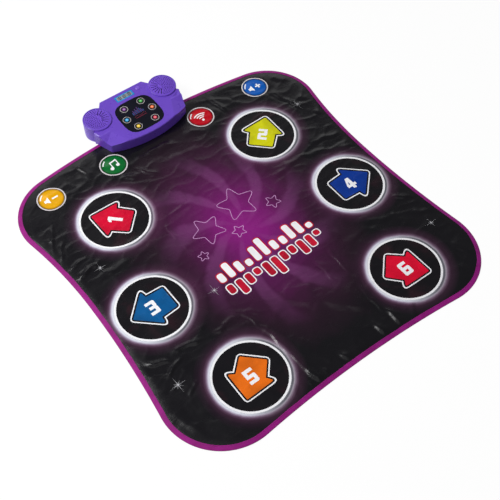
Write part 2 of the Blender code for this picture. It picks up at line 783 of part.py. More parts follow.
def build_upper_shell(material, face):
    shell = add_object(
        "upper_shell",
        up_to_face(case_outline(False), PARTING_HEIGHT, 0, CASE_EDGE_ROUND, 2),
        material,
    )
    for side, word in ((-1, "left"), (1, "right")):
        cut(shell, add_tool(f"{word}_facet", facet_wedge(side, 0)))
    for side, word in ((-1, "left"), (1, "right")):
        drum = up_to_face(
            drum_outline(side, DRUM_RADIUS), PARTING_HEIGHT, -DRUM_RISE, DRUM_CHAMFER
        )
        join(shell, add_tool(f"{word}_drum", drum))
    hollow = add_tool(
        "case_hollow",
        up_to_face(case_outline(False, CASE_WALL), PARTING_HEIGHT - OVERSHOOT, FACE_THICK),
    )
    for side, word in ((-1, "left"), (1, "right")):
        cut(hollow, add_tool(f"{word}_facet_inside", facet_wedge(side, FACE_THICK)))
    cut(shell, hollow)
    for side, word in ((-1, "left"), (1, "right")):
        inside = up_to_face(
            drum_outline(side, DRUM_RADIUS - CASE_WALL),
            PARTING_HEIGHT - OVERSHOOT,
            GRILLE_THICK + SEAT_GAP + FACE_THICK - DRUM_RISE,
        )
        cut(shell, add_tool(f"{word}_drum_hollow", inside))
    join(shell, add_tool("case_posts", case_posts()))
    join(shell, add_tool("board_posts", board_posts(), parent=face))
    cut(shell, add_tool("case_post_bores", case_post_bores()))
    cut(shell, add_tool("board_post_bores", board_post_bores(), parent=face))
    cut(shell, add_tool("panel_pocket", panel_pocket(), parent=face))
    cut(shell, add_tool("face_holes", face_holes(), parent=face))
    cut(shell, add_tool("grille_seats", grille_seats(), parent=face))
    cut(shell, add_tool("wall_recess", wall_recess()))


def post_places():
    """Centre and floor height of the four screw posts."""
    places = []
    for side in (-1, 1):
        places.append((side * REAR_POST[0], CASE_Y + REAR_POST[1], REAR_FLOOR_TOP))
        places.append((side * FRONT_POST[0], CASE_Y + FRONT_POST[1], SHELF_BOTTOM + FLOOR_THICK))
    return places


def case_posts():
    return merge(
        prism(
            circle((x, y), POST_RADIUS, POST_STEPS),
            floor + SEAT_GAP,
            face_height(y) - FACE_THICK / 2,
        )
        for x, y, floor in post_places()
    )


def case_post_bores():
    bore = SCREW_SHANK_RADIUS + SEAT_GAP
    return merge(
        prism(
            circle((x, y), bore, SCREW_STEPS),
            floor - OVERSHOOT,
            floor + SCREW_GRIP + SIDE_GAP,
        )
        for x, y, floor in post_places()
    )


def board_post_places():
    return [
        (side * BOARD_POST_X, y) for side in (-1, 1) for y in (BOARD_POST_FRONT, BOARD_POST_BACK)
    ]


def board_posts():
    return merge(
        prism(circle(place, BOARD_POST_RADIUS, SCREW_STEPS), -BOARD_DROP + SEAT_GAP, -FACE_THICK / 2)
        for place in board_post_places()
    )


def board_post_bores():
    bore = BOARD_SCREW_SHANK + SEAT_GAP
    return merge(
        prism(
            circle(place, bore, SCREW_STEPS),
            -BOARD_DROP - OVERSHOOT,
            -BOARD_DROP + BOARD_SCREW_GRIP + SIDE_GAP,
        )
        for place in board_post_places()
    )


def panel_outline(inset=0.0):
    """A square with softly bulging sides and large corners."""
    points = []
    for i in range(PANEL_STEPS):
        angle = 2 * math.pi * i / PANEL_STEPS
        c, s = math.cos(angle), math.sin(angle)
        x = math.copysign(abs(c) ** (2 / PANEL_POWER), c) * (PANEL_HALF_WIDTH - inset)
        y = math.copysign(abs(s) ** (2 / PANEL_POWER), s) * (PANEL_HALF_HEIGHT - inset)
        points.append((x, y + PANEL_CENTRE_Y))
    return points


def panel_pocket():
    return prism(panel_outline(), -PANEL_THICK - SEAT_GAP, OVERSHOOT)


def rectangle(centre, width, height):
    x, y = centre
    return [
        (x - width / 2, y - height / 2),
        (x + width / 2, y - height / 2),
        (x + width / 2, y + height / 2),
        (x - width / 2, y + height / 2),
    ]


def face_holes():
    """Light holes, display window and button bore, all through the face."""
    low, high = -FACE_THICK - OVERSHOOT / 2, OVERSHOOT / 2
    holes = [
        prism(circle(place, LIGHT_HOLE_RADIUS, POST_STEPS), low, high)
        for place in LENS_CENTRES.values()
    ]
    window = rectangle(
        (0, DISPLAY_Y), DISPLAY_WIDTH + 2 * SEAT_GAP, DISPLAY_HEIGHT + 2 * SEAT_GAP
    )
    holes.append(prism(window, low, high))
    bore = circle((BUTTON_X, BUTTON_Y), BUTTON_RADIUS + SEAT_GAP, LENS_STEPS)
    holes.append(prism(bore, low, high))
    return merge(holes)


def drum_centre(side):
    """Centre of a drum in the plane of the face."""
    return (side * DRUM_X, DRUM_Y / math.cos(CASE_TILT))


def grille_seats():
    """A counterbore for each grille and the opening under it."""
    parts = []
    for side in (-1, 1):
        centre = drum_centre(side)
        seat = circle(centre, GRILLE_RADIUS + SEAT_GAP, DRUM_STEPS)
        opening = circle(centre, GRILLE_RADIUS - GRILLE_LEDGE, DRUM_STEPS)
        floor = DRUM_RISE - GRILLE_THICK - SEAT_GAP
        rings = [
            at_height(opening, floor - OVERSHOOT),
            at_height(opening, floor),
            at_height(seat, floor),
            at_height(seat, DRUM_RISE + OVERSHOOT),
        ]
        parts.append(loft(rings))
    return merge(parts)


def wall_recess():
    """A shallow slot along the front right wall, just under the corner facet."""
    y = FRONT_SAGITTA_Y + RECESS_X**2 / (2 * FRONT_RADIUS)
    slope = math.atan(RECESS_X / FRONT_RADIUS)
    bm = bmesh.new()
    half = (RECESS_LENGTH - RECESS_HEIGHT) / 2
    radius = RECESS_HEIGHT / 2
    ends = [Vector((math.sin(a), math.cos(a))) for a in (math.pi * i / 4 for i in range(5))]
    section = [(half + radius * e.x, radius * e.y) for e in ends]
    section += [(-half - radius * e.x, -radius * e.y) for e in ends]
    rings = [[(x, depth, z) for x, z in section] for depth in (-OVERSHOOT, RECESS_DEPTH)]
    made = skin(bm, rings)
    bm.faces.new(list(reversed(made[0])))
    bm.faces.new(made[1])
    bmesh.ops.rotate(bm, cent=(0, 0, 0), matrix=Matrix.Rotation(slope, 3, "Z"), verts=bm.verts)
    height = face_height(y + CASE_Y) - RECESS_DROP
    return moved(bm, (RECESS_X, y + CASE_Y, height))


# Lower shell


def build_lower_shell(material):
    """A tray that steps over the mat's edge, with the battery bay opening downward."""
    shell = add_object(
        "lower_shell", prism(case_outline(True), FLOOR_CLEARANCE, PARTING_HEIGHT - SEAT_GAP), material
    )
    wide = 4 * DRUM_X
    lip_top = PARTING_HEIGHT + LIP_HEIGHT
    lip = prism(case_outline(True, CASE_WALL + LIP_GAP), REAR_FLOOR_TOP, lip_top)
    join(shell, add_tool("register_lip", lip))
    inside = case_outline(True, CASE_WALL + LIP_GAP + LIP_THICK)
    hollow = add_tool("tray_hollow", prism(inside, REAR_FLOOR_TOP, lip_top + OVERSHOOT))
    shelf_top = SHELF_BOTTOM + FLOOR_THICK
    shelf_depth = STEP_Y + FLOOR_THICK - (CASE_Y + FRONT_SAGITTA_Y) + OVERSHOOT
    shelf = box(
        (0, STEP_Y + FLOOR_THICK - shelf_depth / 2, shelf_top / 2), (wide, shelf_depth, shelf_top)
    )
    cut(hollow, add_tool("shelf_in_hollow", shelf))
    cut(shell, hollow)
    under_depth = shelf_depth - FLOOR_THICK
    under = box(
        (0, STEP_Y - under_depth / 2, SHELF_BOTTOM - OVERSHOOT / 2), (wide, under_depth, OVERSHOOT)
    )
    cut(shell, add_tool("mat_step", under))
    bay_outer = (2 * (BAY_HALF_X + BAY_WALL), 2 * (BAY_HALF_Y + BAY_WALL))
    bay_low = FLOOR_CLEARANCE + FLOOR_THICK / 2
    bay_high = BAY_TOP + BAY_WALL
    bay = box((0, BAY_Y, (bay_low + bay_high) / 2), (*bay_outer, bay_high - bay_low))
    join(shell, add_tool("bay_block", bay))
    bay_space = box(
        (0, BAY_Y, BAY_TOP / 2 - OVERSHOOT / 2),
        (2 * BAY_HALF_X, 2 * BAY_HALF_Y, BAY_TOP + OVERSHOOT),
    )
    cut(shell, add_tool("bay_space", bay_space))
    cut(shell, add_tool("door_slots", door_slots()))
    cut(shell, add_tool("floor_tail_slot", tail_slot(0, shelf_top + OVERSHOOT)))
    cut(shell, add_tool("floor_screw_holes", floor_screw_holes()))
    cut(shell, add_tool("foot_pockets", foot_pockets()))


def door_slots():
    """Openings for the door's two tabs in the bay's front wall, and for its rear tongue."""
    front = BAY_Y - BAY_HALF_Y
    parts = [
        box(
            (side * DOOR_TAB_X, front, REAR_FLOOR_TOP + DOOR_TAB_SLOT_HEIGHT / 2),
            (DOOR_TAB_WIDTH + 2 * SIDE_GAP, 4 * BAY_WALL, DOOR_TAB_SLOT_HEIGHT),
        )
        for side in (-1, 1)
    ]
    back = BAY_Y + BAY_HALF_Y
    tongue_slot = DOOR_TONGUE_LENGTH + SIDE_GAP
    parts.append(
        box(
            (0, back + tongue_slot / 2 - OVERSHOOT / 2, 0),
            (DOOR_TONGUE_WIDTH + 2 * SIDE_GAP, tongue_slot + OVERSHOOT, 2 * REAR_FLOOR_TOP),
        )
    )
    return merge(parts)


def floor_screw_holes():
    """Clearance holes, those at the rear with a sunk seat for the head."""
    parts = []
    for x, y, floor in post_places():
        shank = circle((x, y), SCREW_SHANK_RADIUS + SEAT_GAP, SCREW_STEPS)
        head = circle((x, y), SCREW_HEAD_RADIUS + SEAT_GAP, SCREW_STEPS)
        rings = [at_height(shank, -OVERSHOOT)]
        if floor == REAR_FLOOR_TOP:
            seat = FLOOR_CLEARANCE + SCREW_HEAD_HEIGHT + SEAT_GAP
            rings = [at_height(head, -OVERSHOOT), at_height(head, seat), at_height(shank, seat)]
        rings.append(at_height(shank, floor + MM))
        parts.append(loft(rings))
    return merge(parts)


def foot_places():
    return {
        "rear_foot_left": (-FOOT_CENTRE[0], CASE_Y + FOOT_CENTRE[1]),
        "rear_foot_right": (FOOT_CENTRE[0], CASE_Y + FOOT_CENTRE[1]),
    }


def foot_pockets():
    top = FOOT_THICK + SEAT_GAP
    return merge(
        prism(circle(place, FOOT_RADIUS + SEAT_GAP, LENS_STEPS), -OVERSHOOT, top)
        for place in foot_places().values()
    )


def build_feet(material):
    for name, place in foot_places().items():
        profile = [
            (0, 0),
            (FOOT_RADIUS - FOOT_EDGE, 0),
            (FOOT_RADIUS, FOOT_EDGE),
            (FOOT_RADIUS, FOOT_THICK),
            (0, FOOT_THICK),
        ]
        add_object(name, revolve(profile, LENS_STEPS), material, location=(*place, 0))


# Battery door, cells and contacts


def build_battery_door(material):
    """Origin on the hinge line, at the top of the front edge."""
    front = BAY_Y - BAY_HALF_Y + SEAT_GAP
    back = BAY_Y + BAY_HALF_Y - SEAT_GAP
    top = REAR_FLOOR_TOP - SEAT_GAP / 3
    depth = back - front
    half = BAY_HALF_X - SEAT_GAP
    section = [(0, 0), (DOOR_NOSE, -DOOR_THICK), (depth, -DOOR_THICK), (depth, 0)]
    door = add_object(
        "battery_door",
        loft([[(x, y, z) for y, z in section] for x in (-half, half)]),
        material,
        location=(0, front, top),
    )
    tab_low = REAR_FLOOR_TOP + SEAT_GAP - top
    tab_high = tab_low + DOOR_TAB_THICK
    tab_section = [
        (0, -DOOR_ROOT / 2),
        (DOOR_NOSE, -DOOR_ROOT / 2),
        (DOOR_NOSE, tab_high),
        (-BAY_WALL, tab_high),
        (-BAY_WALL, tab_low),
        (0, tab_low),
    ]
    half_tab = DOOR_TAB_WIDTH / 2
    tabs = merge(
        loft([[(side * DOOR_TAB_X + x, y, z) for y, z in tab_section] for x in (-half_tab, half_tab)])
        for side in (-1, 1)
    )
    join(door, add_tool("door_tabs", tabs, location=(0, front, top)))
    tongue = box(
        (0, depth + (DOOR_TONGUE_LENGTH - DOOR_ROOT) / 2, -DOOR_THICK / 2),
        (
            DOOR_TONGUE_WIDTH,
            DOOR_TONGUE_LENGTH + DOOR_ROOT,
            DOOR_THICK - 2 * DOOR_TONGUE_INSET,
        ),
    )
    join(door, add_tool("door_tongue", tongue, location=(0, front, top)))


def build_cells(material):
    shift = (CELL_COUNT - 1) / 2
    for i in range(CELL_COUNT):
        body = CELL_LENGTH - CELL_NUB_LENGTH
        profile = [
            (0, 0),
            (CELL_RADIUS - CELL_EDGE, 0),
            (CELL_RADIUS, CELL_EDGE),
            (CELL_RADIUS, body - CELL_EDGE),
            (CELL_RADIUS - CELL_EDGE, body),
            (CELL_NUB_RADIUS, body),
            (CELL_NUB_RADIUS, CELL_LENGTH),
            (0, CELL_LENGTH),
        ]
        way = 1 if i % 2 else -1
        cell = add_object(
            f"aa_cell_{i + 1}",
            revolve(profile, CELL_STEPS),
            material,
            location=(-way * CELL_LENGTH / 2, BAY_Y + (i - shift) * CELL_PITCH, CELL_Z),
        )
        cell.rotation_euler = (0, way * math.pi / 2, 0)


def build_contacts(material):
    """A plate at each end of the bay, with a pressed boss against each cell."""
    shift = (CELL_COUNT - 1) / 2
    for side, word in ((-1, "left"), (1, "right")):
        plate_x = BAY_HALF_X - SEAT_GAP - CONTACT_THICK / 2
        plate_z = (BAY_TOP + REAR_FLOOR_TOP) / 2
        height = BAY_TOP - REAR_FLOOR_TOP - 2 * SIDE_GAP
        place = (side * plate_x, BAY_Y, plate_z)
        size = (CONTACT_THICK, 2 * BAY_HALF_Y - 2 * SIDE_GAP, height)
        plate = add_object(f"battery_contact_{word}", box((0, 0, 0), size), material, place)
        length = plate_x - CELL_LENGTH / 2 - SEAT_GAP
        bosses = []
        for i in range(CELL_COUNT):
            profile = [(0, 0), (CONTACT_BOSS_RADIUS, 0), (CONTACT_BOSS_TIP, length), (0, length)]
            boss = revolve(profile, SCREW_STEPS)
            turned = Matrix.Rotation(-side * math.pi / 2, 3, "Y")
            bmesh.ops.rotate(boss, cent=(0, 0, 0), matrix=turned, verts=boss.verts)
            bosses.append(moved(boss, (0, (i - shift) * CELL_PITCH, CELL_Z - plate_z)))
        join(plate, add_tool(f"contact_bosses_{word}", merge(bosses), place))


# Panel, lights, display and button, all placed on the tilted face


def build_control_panel(material, face):
    panel = add_object(
        "control_panel", prism(panel_outline(SEAT_GAP), -PANEL_THICK, 0), material, parent=face
    )
    holes = merge(
        prism(circle(place, LENS_RADIUS + SEAT_GAP, LENS_STEPS), -OVERSHOOT, OVERSHOOT)
        for place in LENS_CENTRES.values()
    )
    cut(panel, add_tool("lens_openings", holes, parent=face))


def build_lenses(material_of, face):
    for name, (x, y) in LENS_CENTRES.items():
        profile = [
            (0, -PANEL_THICK),
            (LENS_RADIUS, -PANEL_THICK),
            (LENS_RADIUS, 0),
            (0, LENS_CROWN),
        ]
        add_object(
            f"light_lens_{name}",
            revolve(profile, LENS_STEPS),
            material_of[name],
            location=(x, y, 0),
            parent=face,
        )


def build_display(lens_material, module_material, face):
    flange_top = -FACE_THICK - SEAT_GAP
    flange_low = flange_top - DISPLAY_FLANGE_THICK
    wide = rectangle(
        (0, 0), DISPLAY_WIDTH + 2 * DISPLAY_FLANGE, DISPLAY_HEIGHT + 2 * DISPLAY_FLANGE
    )
    window = rectangle((0, 0), DISPLAY_WIDTH, DISPLAY_HEIGHT)
    rings = [
        at_height(wide, flange_low),
        at_height(wide, flange_top),
        at_height(window, flange_top),
        at_height(window, 0),
    ]
    add_object("display_lens", loft(rings), lens_material, location=(0, DISPLAY_Y, 0), parent=face)
    module = prism(
        rectangle((0, 0), DISPLAY_WIDTH + DISPLAY_FLANGE, DISPLAY_HEIGHT + DISPLAY_FLANGE),
        -BOARD_DROP + SEAT_GAP,
        flange_low - SEAT_GAP,
    )
    add_object("display_module", module, module_material, location=(0, DISPLAY_Y, 0), parent=face)


def build_power_button(material, face):
    flange_top = -FACE_THICK - SEAT_GAP
    flange_low = flange_top - BUTTON_FLANGE_THICK
    stem_low = -BOARD_DROP + SWITCH_HEIGHT + SEAT_GAP + BUTTON_TRAVEL
    profile = [
        (0, stem_low),
        (BUTTON_STEM_RADIUS, stem_low),
        (BUTTON_STEM_RADIUS, flange_low),
        (BUTTON_RADIUS + BUTTON_FLANGE, flange_low),
        (BUTTON_RADIUS + BUTTON_FLANGE, flange_top),
        (BUTTON_RADIUS, flange_top),
        (BUTTON_RADIUS, BUTTON_WALL_RISE),
        (BUTTON_RADIUS - BUTTON_EDGE_ROUND, BUTTON_EDGE_RISE),
        (BUTTON_FLAT_RADIUS, BUTTON_RISE),
        (0, BUTTON_RISE),
    ]
    place = (BUTTON_X, BUTTON_Y, 0)
    add_object("power_button", revolve(profile, LENS_STEPS), material, location=place, parent=face)


# Board, its screws and the tail clamp


def build_main_board(material, face):
    """Circuit board with its lights, switch and chips soldered on."""
    width = 2 * BOARD_HALF_WIDTH
    middle = (BOARD_FRONT + BOARD_BACK) / 2
    top = -BOARD_DROP
    low = top - BOARD_THICK
    plan = rectangle((0, middle), width, BOARD_BACK - BOARD_FRONT)
    board = add_object("main_board", prism(plan, low, top), material, parent=face)
    parts = [
        prism(circle(place, LIGHT_RADIUS, SCREW_STEPS), top - BOARD_THICK / 2, top + LIGHT_HEIGHT)
        for place in LENS_CENTRES.values()
    ]
    parts.append(
        prism(
            rectangle((BUTTON_X, BUTTON_Y), SWITCH_SIZE, SWITCH_SIZE),
            top - BOARD_THICK / 2,
            top + SWITCH_HEIGHT,
        )
    )
    for x, y, size in CHIP_SIZES:
        parts.append(prism(rectangle((x, y), size, size), top - BOARD_THICK / 2, top + CHIP_HEIGHT))
    join(board, add_tool("board_parts", merge(parts), parent=face))
    holes = [
        prism(circle(place, BOARD_SCREW_SHANK + SEAT_GAP, SCREW_STEPS), low - MM, top + MM)
        for place in board_post_places()
    ]
    holes += [
        prism(circle(place, CLAMP_PEG_RADIUS + SEAT_GAP, SCREW_STEPS), low - MM, top + MM)
        for place in clamp_pegs()
    ]
    cut(board, add_tool("board_holes", merge(holes), parent=face))


def clamp_centre():
    """Middle of the tail's lap in the plane of the face."""
    return (TAIL_Y - CASE_Y) / math.cos(CASE_TILT) - TAIL_LAP / 2 - TAIL_BEND


def clamp_pegs():
    return [(side * CLAMP_PEG_X, clamp_centre()) for side in (-1, 1)]


def build_tail_clamp(material, face):
    top = -BOARD_DROP - BOARD_THICK - FILM_THICK - 2 * SEAT_GAP
    bar = add_object(
        "tail_clamp_bar",
        prism(rectangle((0, clamp_centre()), CLAMP_WIDTH, CLAMP_DEPTH), top - CLAMP_THICK, top),
        material,
        parent=face,
    )
    pegs = merge(
        prism(circle(place, CLAMP_PEG_RADIUS, SCREW_STEPS), top - MM, -BOARD_DROP + MM)
        for place in clamp_pegs()
    )
    join(bar, add_tool("clamp_pegs", pegs, parent=face))


def screw_profile(shank_radius, head_radius, head_height, length):
    """Head at the bottom, pointed tip up."""
    return [
        (0, 0),
        (head_radius, 0),
        (head_radius, head_height),
        (shank_radius, head_height),
        (shank_radius, length - shank_radius),
        (0, length),
    ]


def build_screws(material, face):
    for x, y, floor in post_places():
        word = "left" if x < 0 else "right"
        rear = floor == REAR_FLOOR_TOP
        low = FLOOR_CLEARANCE if rear else BASE_THICK - SCREW_HEAD_HEIGHT
        profile = screw_profile(
            SCREW_SHANK_RADIUS, SCREW_HEAD_RADIUS, SCREW_HEAD_HEIGHT, floor + SCREW_GRIP - low
        )
        name = f"case_screw_{word}" if rear else f"mat_screw_{word}"
        add_object(name, revolve(profile, SCREW_STEPS), material, location=(x, y, low))
    low = -BOARD_DROP - BOARD_THICK - SEAT_GAP - SCREW_HEAD_HEIGHT
    for number, (x, y) in enumerate(board_post_places(), start=1):
        length = BOARD_SCREW_GRIP - BOARD_DROP - low
        profile = screw_profile(BOARD_SCREW_SHANK, BOARD_SCREW_HEAD, SCREW_HEAD_HEIGHT, length)
        add_object(
            f"board_screw_{number}",
            revolve(profile, SCREW_STEPS),
            material,
            location=(x, y, low),
            parent=face,
        )


# Speakers


def build_speakers(grille_material, basket_material, cone_material, face):
    for side, word in ((-1, "left"), (1, "right")):
        centre = drum_centre(side)
        build_grille(f"speaker_grille_{word}", side, centre, grille_material, face)
        rim_top = DRUM_RISE - GRILLE_THICK - SEAT_GAP - FACE_THICK - SEAT_GAP
        place = (*centre, rim_top)
        basket = revolve(basket_profile(), SPEAKER_STEPS)
        add_object(f"speaker_basket_{word}", basket, basket_material, location=place, parent=face)
        cone = revolve(cone_profile(), SPEAKER_STEPS)
        add_object(f"speaker_cone_{word}", cone, cone_material, location=place, parent=face)


def build_grille(name, side, centre, material, face):
    """A disc with rings of small holes and a fan of slots towards the panel."""
    low = DRUM_RISE - GRILLE_THICK
    disc = prism(circle((0, 0), GRILLE_RADIUS, DRUM_STEPS), low, DRUM_RISE)
    grille = add_object(name, disc, material, location=(*centre, 0), parent=face)
    inward = math.pi if side > 0 else 0.0
    parts = []
    span = (low - MM, DRUM_RISE + MM)
    for ring in range(GRILLE_RING_COUNT):
        radius = GRILLE_FIRST_RING + ring * GRILLE_RING_STEP
        count = round(2 * math.pi * radius / GRILLE_HOLE_PITCH)
        for i in range(count):
            angle = 2 * math.pi * (i + 0.5) / count
            away = abs(math.remainder(angle - inward, 2 * math.pi))
            if away < GRILLE_SLOT_SPREAD / 2 + GRILLE_FAN_MARGIN:
                continue
            place = (radius * math.cos(angle), radius * math.sin(angle))
            parts.append(prism(circle(place, GRILLE_HOLE_RADIUS, GRILLE_HOLE_SIDES), *span))
    for i in range(GRILLE_SLOT_COUNT):
        angle = inward + GRILLE_SLOT_SPREAD * (i / (GRILLE_SLOT_COUNT - 1) - 0.5)
        slot = prism(
            rectangle(
                ((GRILLE_SLOT_START + GRILLE_SLOT_END) / 2, 0),
                GRILLE_SLOT_END - GRILLE_SLOT_START,
                GRILLE_SLOT_WIDTH,
            ),
            *span,
        )
        spun = Matrix.Rotation(angle, 3, "Z")
        bmesh.ops.rotate(slot, cent=(0, 0, 0), matrix=spun, verts=slot.verts)
        parts.append(slot)
    cut(grille, add_tool(f"{name}_openings", merge(parts), location=(*centre, 0), parent=face))


def basket_profile():
    """A flanged bowl with its magnet on the back; the flange's top is at height 0."""
    inner_rim = SPEAKER_RADIUS - SPEAKER_RIM
    throat = MAGNET_RADIUS - THROAT_STEP
    deep = -BASKET_DEPTH
    collar = -2 * (CONE_TRAVEL + SEAT_GAP) - CONE_THICK
    return [
        (0, deep - MAGNET_THICK),
        (MAGNET_RADIUS, deep - MAGNET_THICK),
        (MAGNET_RADIUS, deep),
        (inner_rim + BASKET_THICK, collar),
        (inner_rim + BASKET_THICK, -SPEAKER_RIM_THICK),
        (SPEAKER_RADIUS, -SPEAKER_RIM_THICK),
        (SPEAKER_RADIUS, 0),
        (inner_rim, 0),
        (inner_rim, collar),
        (throat, deep + BASKET_THICK),
        (0, deep + BASKET_THICK),
    ]


def cone_profile():
    """Surround, cone and dust cap in one moving piece, clear of the basket by its travel."""
    outer = SPEAKER_RADIUS - SPEAKER_RIM - SIDE_GAP
    top = -CONE_TRAVEL - SEAT_GAP
    edge = outer - SURROUND_WIDTH
    return [
        (0, top - CONE_DEPTH + DUST_CAP_RISE - CONE_THICK),
        (DUST_CAP_RADIUS, top - CONE_DEPTH - CONE_THICK),
        (edge, top - CONE_THICK),
        (outer, top - CONE_THICK),
        (outer, top),
        (edge, top),
        (DUST_CAP_RADIUS, top - CONE_DEPTH),
        (0, top - CONE_DEPTH + DUST_CAP_RISE),
    ]


def main():
    clear_scene()
    face = bpy.data.objects.new("face_plane", None)
    bpy.context.collection.objects.link(face)
    face.location = (0, CASE_Y, FACE_HEIGHT)
    face.rotation_euler = (CASE_TILT, 0, 0)

    black_sheet = make_material("printed_sheet", (0.012, 0.011, 0.014), 0.32)
    purple = make_material("purple_shell", (0.17, 0.07, 0.58), 0.38)
    dark_purple = make_material("purple_grille", (0.14, 0.055, 0.50), 0.42)
    binding = make_material("binding_ribbon", (0.30, 0.012, 0.22), 0.6)
    base = make_material("base_cloth", (0.03, 0.03, 0.035), 0.85)
    film = make_material("contact_film", (0.75, 0.76, 0.74), 0.3)
    foam = make_material("foam", (0.82, 0.82, 0.80), 0.9)
    panel = make_material("panel_gloss", (0.006, 0.006, 0.010), 0.08)
    display = make_material("display_window", (0.02, 0.42, 0.85), 0.12)
    module = make_material("display_module", (0.20, 0.24, 0.22), 0.4)
    board = make_material("circuit_board", (0.02, 0.16, 0.06), 0.45)
    steel = make_material("steel", (0.62, 0.62, 0.63), 0.3, 1.0)
    rubber = make_material("rubber", (0.02, 0.02, 0.02), 0.8)
    cell = make_material("cell_jacket", (0.06, 0.06, 0.07), 0.35)
    basket = make_material("speaker_basket", (0.10, 0.10, 0.11), 0.45)
    paper = make_material("speaker_cone", (0.02, 0.02, 0.022), 0.85)
    black_plastic = make_material("black_plastic", (0.02, 0.02, 0.025), 0.5)

    pad_colours = {
        "volume_down_pad": (0.85, 0.48, 0.02),
        "mode_pad": (0.02, 0.33, 0.07),
        "wireless_link_pad": (0.62, 0.005, 0.03),
        "volume_up_pad": (0.0, 0.12, 0.62),
    }
    pad_materials = {name: black_sheet for name, *_ in all_pads()}
    for name, colour in pad_colours.items():
        pad_materials[name] = make_material(f"{name}_print", colour, 0.35)
    lens_colours = {
        "purple": (0.35, 0.02, 0.45),
        "green": (0.05, 0.45, 0.05),
        "blue": (0.02, 0.35, 0.85),
        "orange": (0.85, 0.20, 0.03),
        "yellow": (0.85, 0.65, 0.05),
        "red": (0.75, 0.03, 0.10),
    }
    lens_materials = {
        name: make_material(f"lens_{name}", colour, 0.15) for name, colour in lens_colours.items()
    }

    build_base_sheet(base)
    build_lower_film(film)
    build_foam_spacer(foam)
    build_top_sheet(black_sheet)
    build_edge_binding(binding)
    build_pads(pad_materials)
    build_upper_shell(purple, face)
    build_lower_shell(purple)
    build_feet(rubber)
    build_battery_door(purple)
    build_cells(cell)
    build_contacts(steel)
    build_control_panel(panel, face)
    build_lenses(lens_materials, face)
    build_display(display, module, face)
    build_power_button(purple, face)
    build_main_board(board, face)
    build_tail_clamp(black_plastic, face)
    build_screws(steel, face)
    build_speakers(dark_purple, basket, paper, face)
    print("pad travel", round(PAD_TRAVEL / MM, 3), "mm")


main()
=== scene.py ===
import math

import bmesh
import bpy
import numpy as np
from mathutils import Matrix, Vector
from mathutils.geometry import delaunay_2d_cdt
from mathutils.kdtree import KDTree


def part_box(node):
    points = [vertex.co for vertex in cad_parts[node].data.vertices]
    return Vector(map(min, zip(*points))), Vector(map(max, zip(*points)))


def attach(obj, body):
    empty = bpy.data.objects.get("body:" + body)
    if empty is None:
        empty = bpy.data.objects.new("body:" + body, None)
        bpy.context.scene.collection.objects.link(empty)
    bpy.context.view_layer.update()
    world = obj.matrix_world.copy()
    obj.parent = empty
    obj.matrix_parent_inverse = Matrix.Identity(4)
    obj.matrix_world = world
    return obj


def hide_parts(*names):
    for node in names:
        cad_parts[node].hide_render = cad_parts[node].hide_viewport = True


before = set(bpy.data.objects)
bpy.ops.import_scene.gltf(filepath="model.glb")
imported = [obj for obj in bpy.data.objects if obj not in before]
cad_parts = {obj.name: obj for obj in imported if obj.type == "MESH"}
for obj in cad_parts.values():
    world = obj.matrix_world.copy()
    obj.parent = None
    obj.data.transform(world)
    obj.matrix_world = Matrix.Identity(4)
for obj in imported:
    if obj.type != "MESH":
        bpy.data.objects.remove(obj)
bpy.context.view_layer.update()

MM = 0.001

# Camera, world and floor
CAMERA_TURN = math.radians(-37.83)
CAMERA_RISE = math.radians(54.56)
CAMERA_DISTANCE = 2.179
CAMERA_TARGET = Vector((-0.0240, -0.0056, 0))
CAMERA_LENS = 63.19
SENSOR_WIDTH = 36
WORLD_LIGHT = 0.24
FLOOR_WHITE_SHARE = 0.90
FLOOR_DROP = 0.4 * MM

# Mat outline, as the part has it
MAT_WAIST = (429 * MM, 90 * MM)
MAT_FRONT_Y = -405 * MM
MAT_BACK_Y = 526 * MM
FRONT_CORNER = (302 * MM, -269 * MM)
FRONT_CORNER_RADIUS = 151 * MM
BACK_CORNER = (314 * MM, 361 * MM)
BACK_CORNER_RADIUS = 141 * MM
OUTLINE_TURN = -0.8
OUTLINE_SHIFT = 1 * MM
ARC_STEP = 4 * MM

# Layers of the mat: heights, how far in from the outline each one ends, and its openings
SHEET_TOP = 5.9 * MM
SHEET_THICK = 0.8 * MM
SHEET_INSET = 1.3 * MM
EDGE_SHEET_TOP = 2.3 * MM
EDGE_RISE_START = 2 * MM
EDGE_RISE_END = 30 * MM
BASE_THICK = 1.2 * MM
BASE_INSET = 12.3 * MM
STITCH_INSET = 9.3 * MM
STITCH_HEIGHT = 4.38 * MM
SCREW_HOLES = ((-70 * MM, 479 * MM), (70 * MM, 479 * MM))
SCREW_HOLE_RADIUS = 1.6 * MM
SCREW_HEAD_RADIUS = 3.4 * MM
TAIL_SLOT = (-21 * MM, 504.5 * MM, 21 * MM, 507.5 * MM)

# Printed fields
FIELDS = {
    1: (-238.5 * MM, 276.5 * MM),
    2: (238.5 * MM, 276.5 * MM),
    3: (-311 * MM, 0),
    4: (311 * MM, 0),
    5: (-238.5 * MM, -284.3 * MM),
    6: (238.5 * MM, -284.3 * MM),
}
FIELD_ROW_SPLIT = 140 * MM
FIELD_RADIUS = 91.7 * MM
RING_INNER = 86.4 * MM
SEAM = 0.12 * MM
ARROW_TURN = {1: 135, 2: 45, 3: 180, 4: 0, 5: 225, 6: 315}
ARROW_SHIFT = {1: 2, 2: 3, 3: -5, 4: 2, 5: -1.5, 6: -2}
NUMBER_TURN = {1: 45, 2: -45}
SMALL_FIELDS = {
    "volume_down": (-332.9 * MM, 432.4 * MM),
    "mode": (-142.9 * MM, 432.4 * MM),
    "wireless_link": (142.9 * MM, 432.4 * MM),
    "volume_up": (332.9 * MM, 432.4 * MM),
}
SMALL_RADIUS = 38 * MM
SMALL_RIM_INNER = 34.6 * MM
SMALL_DISC_RADIUS = 33.2 * MM
PAD_DEPTH = 1.5 * MM

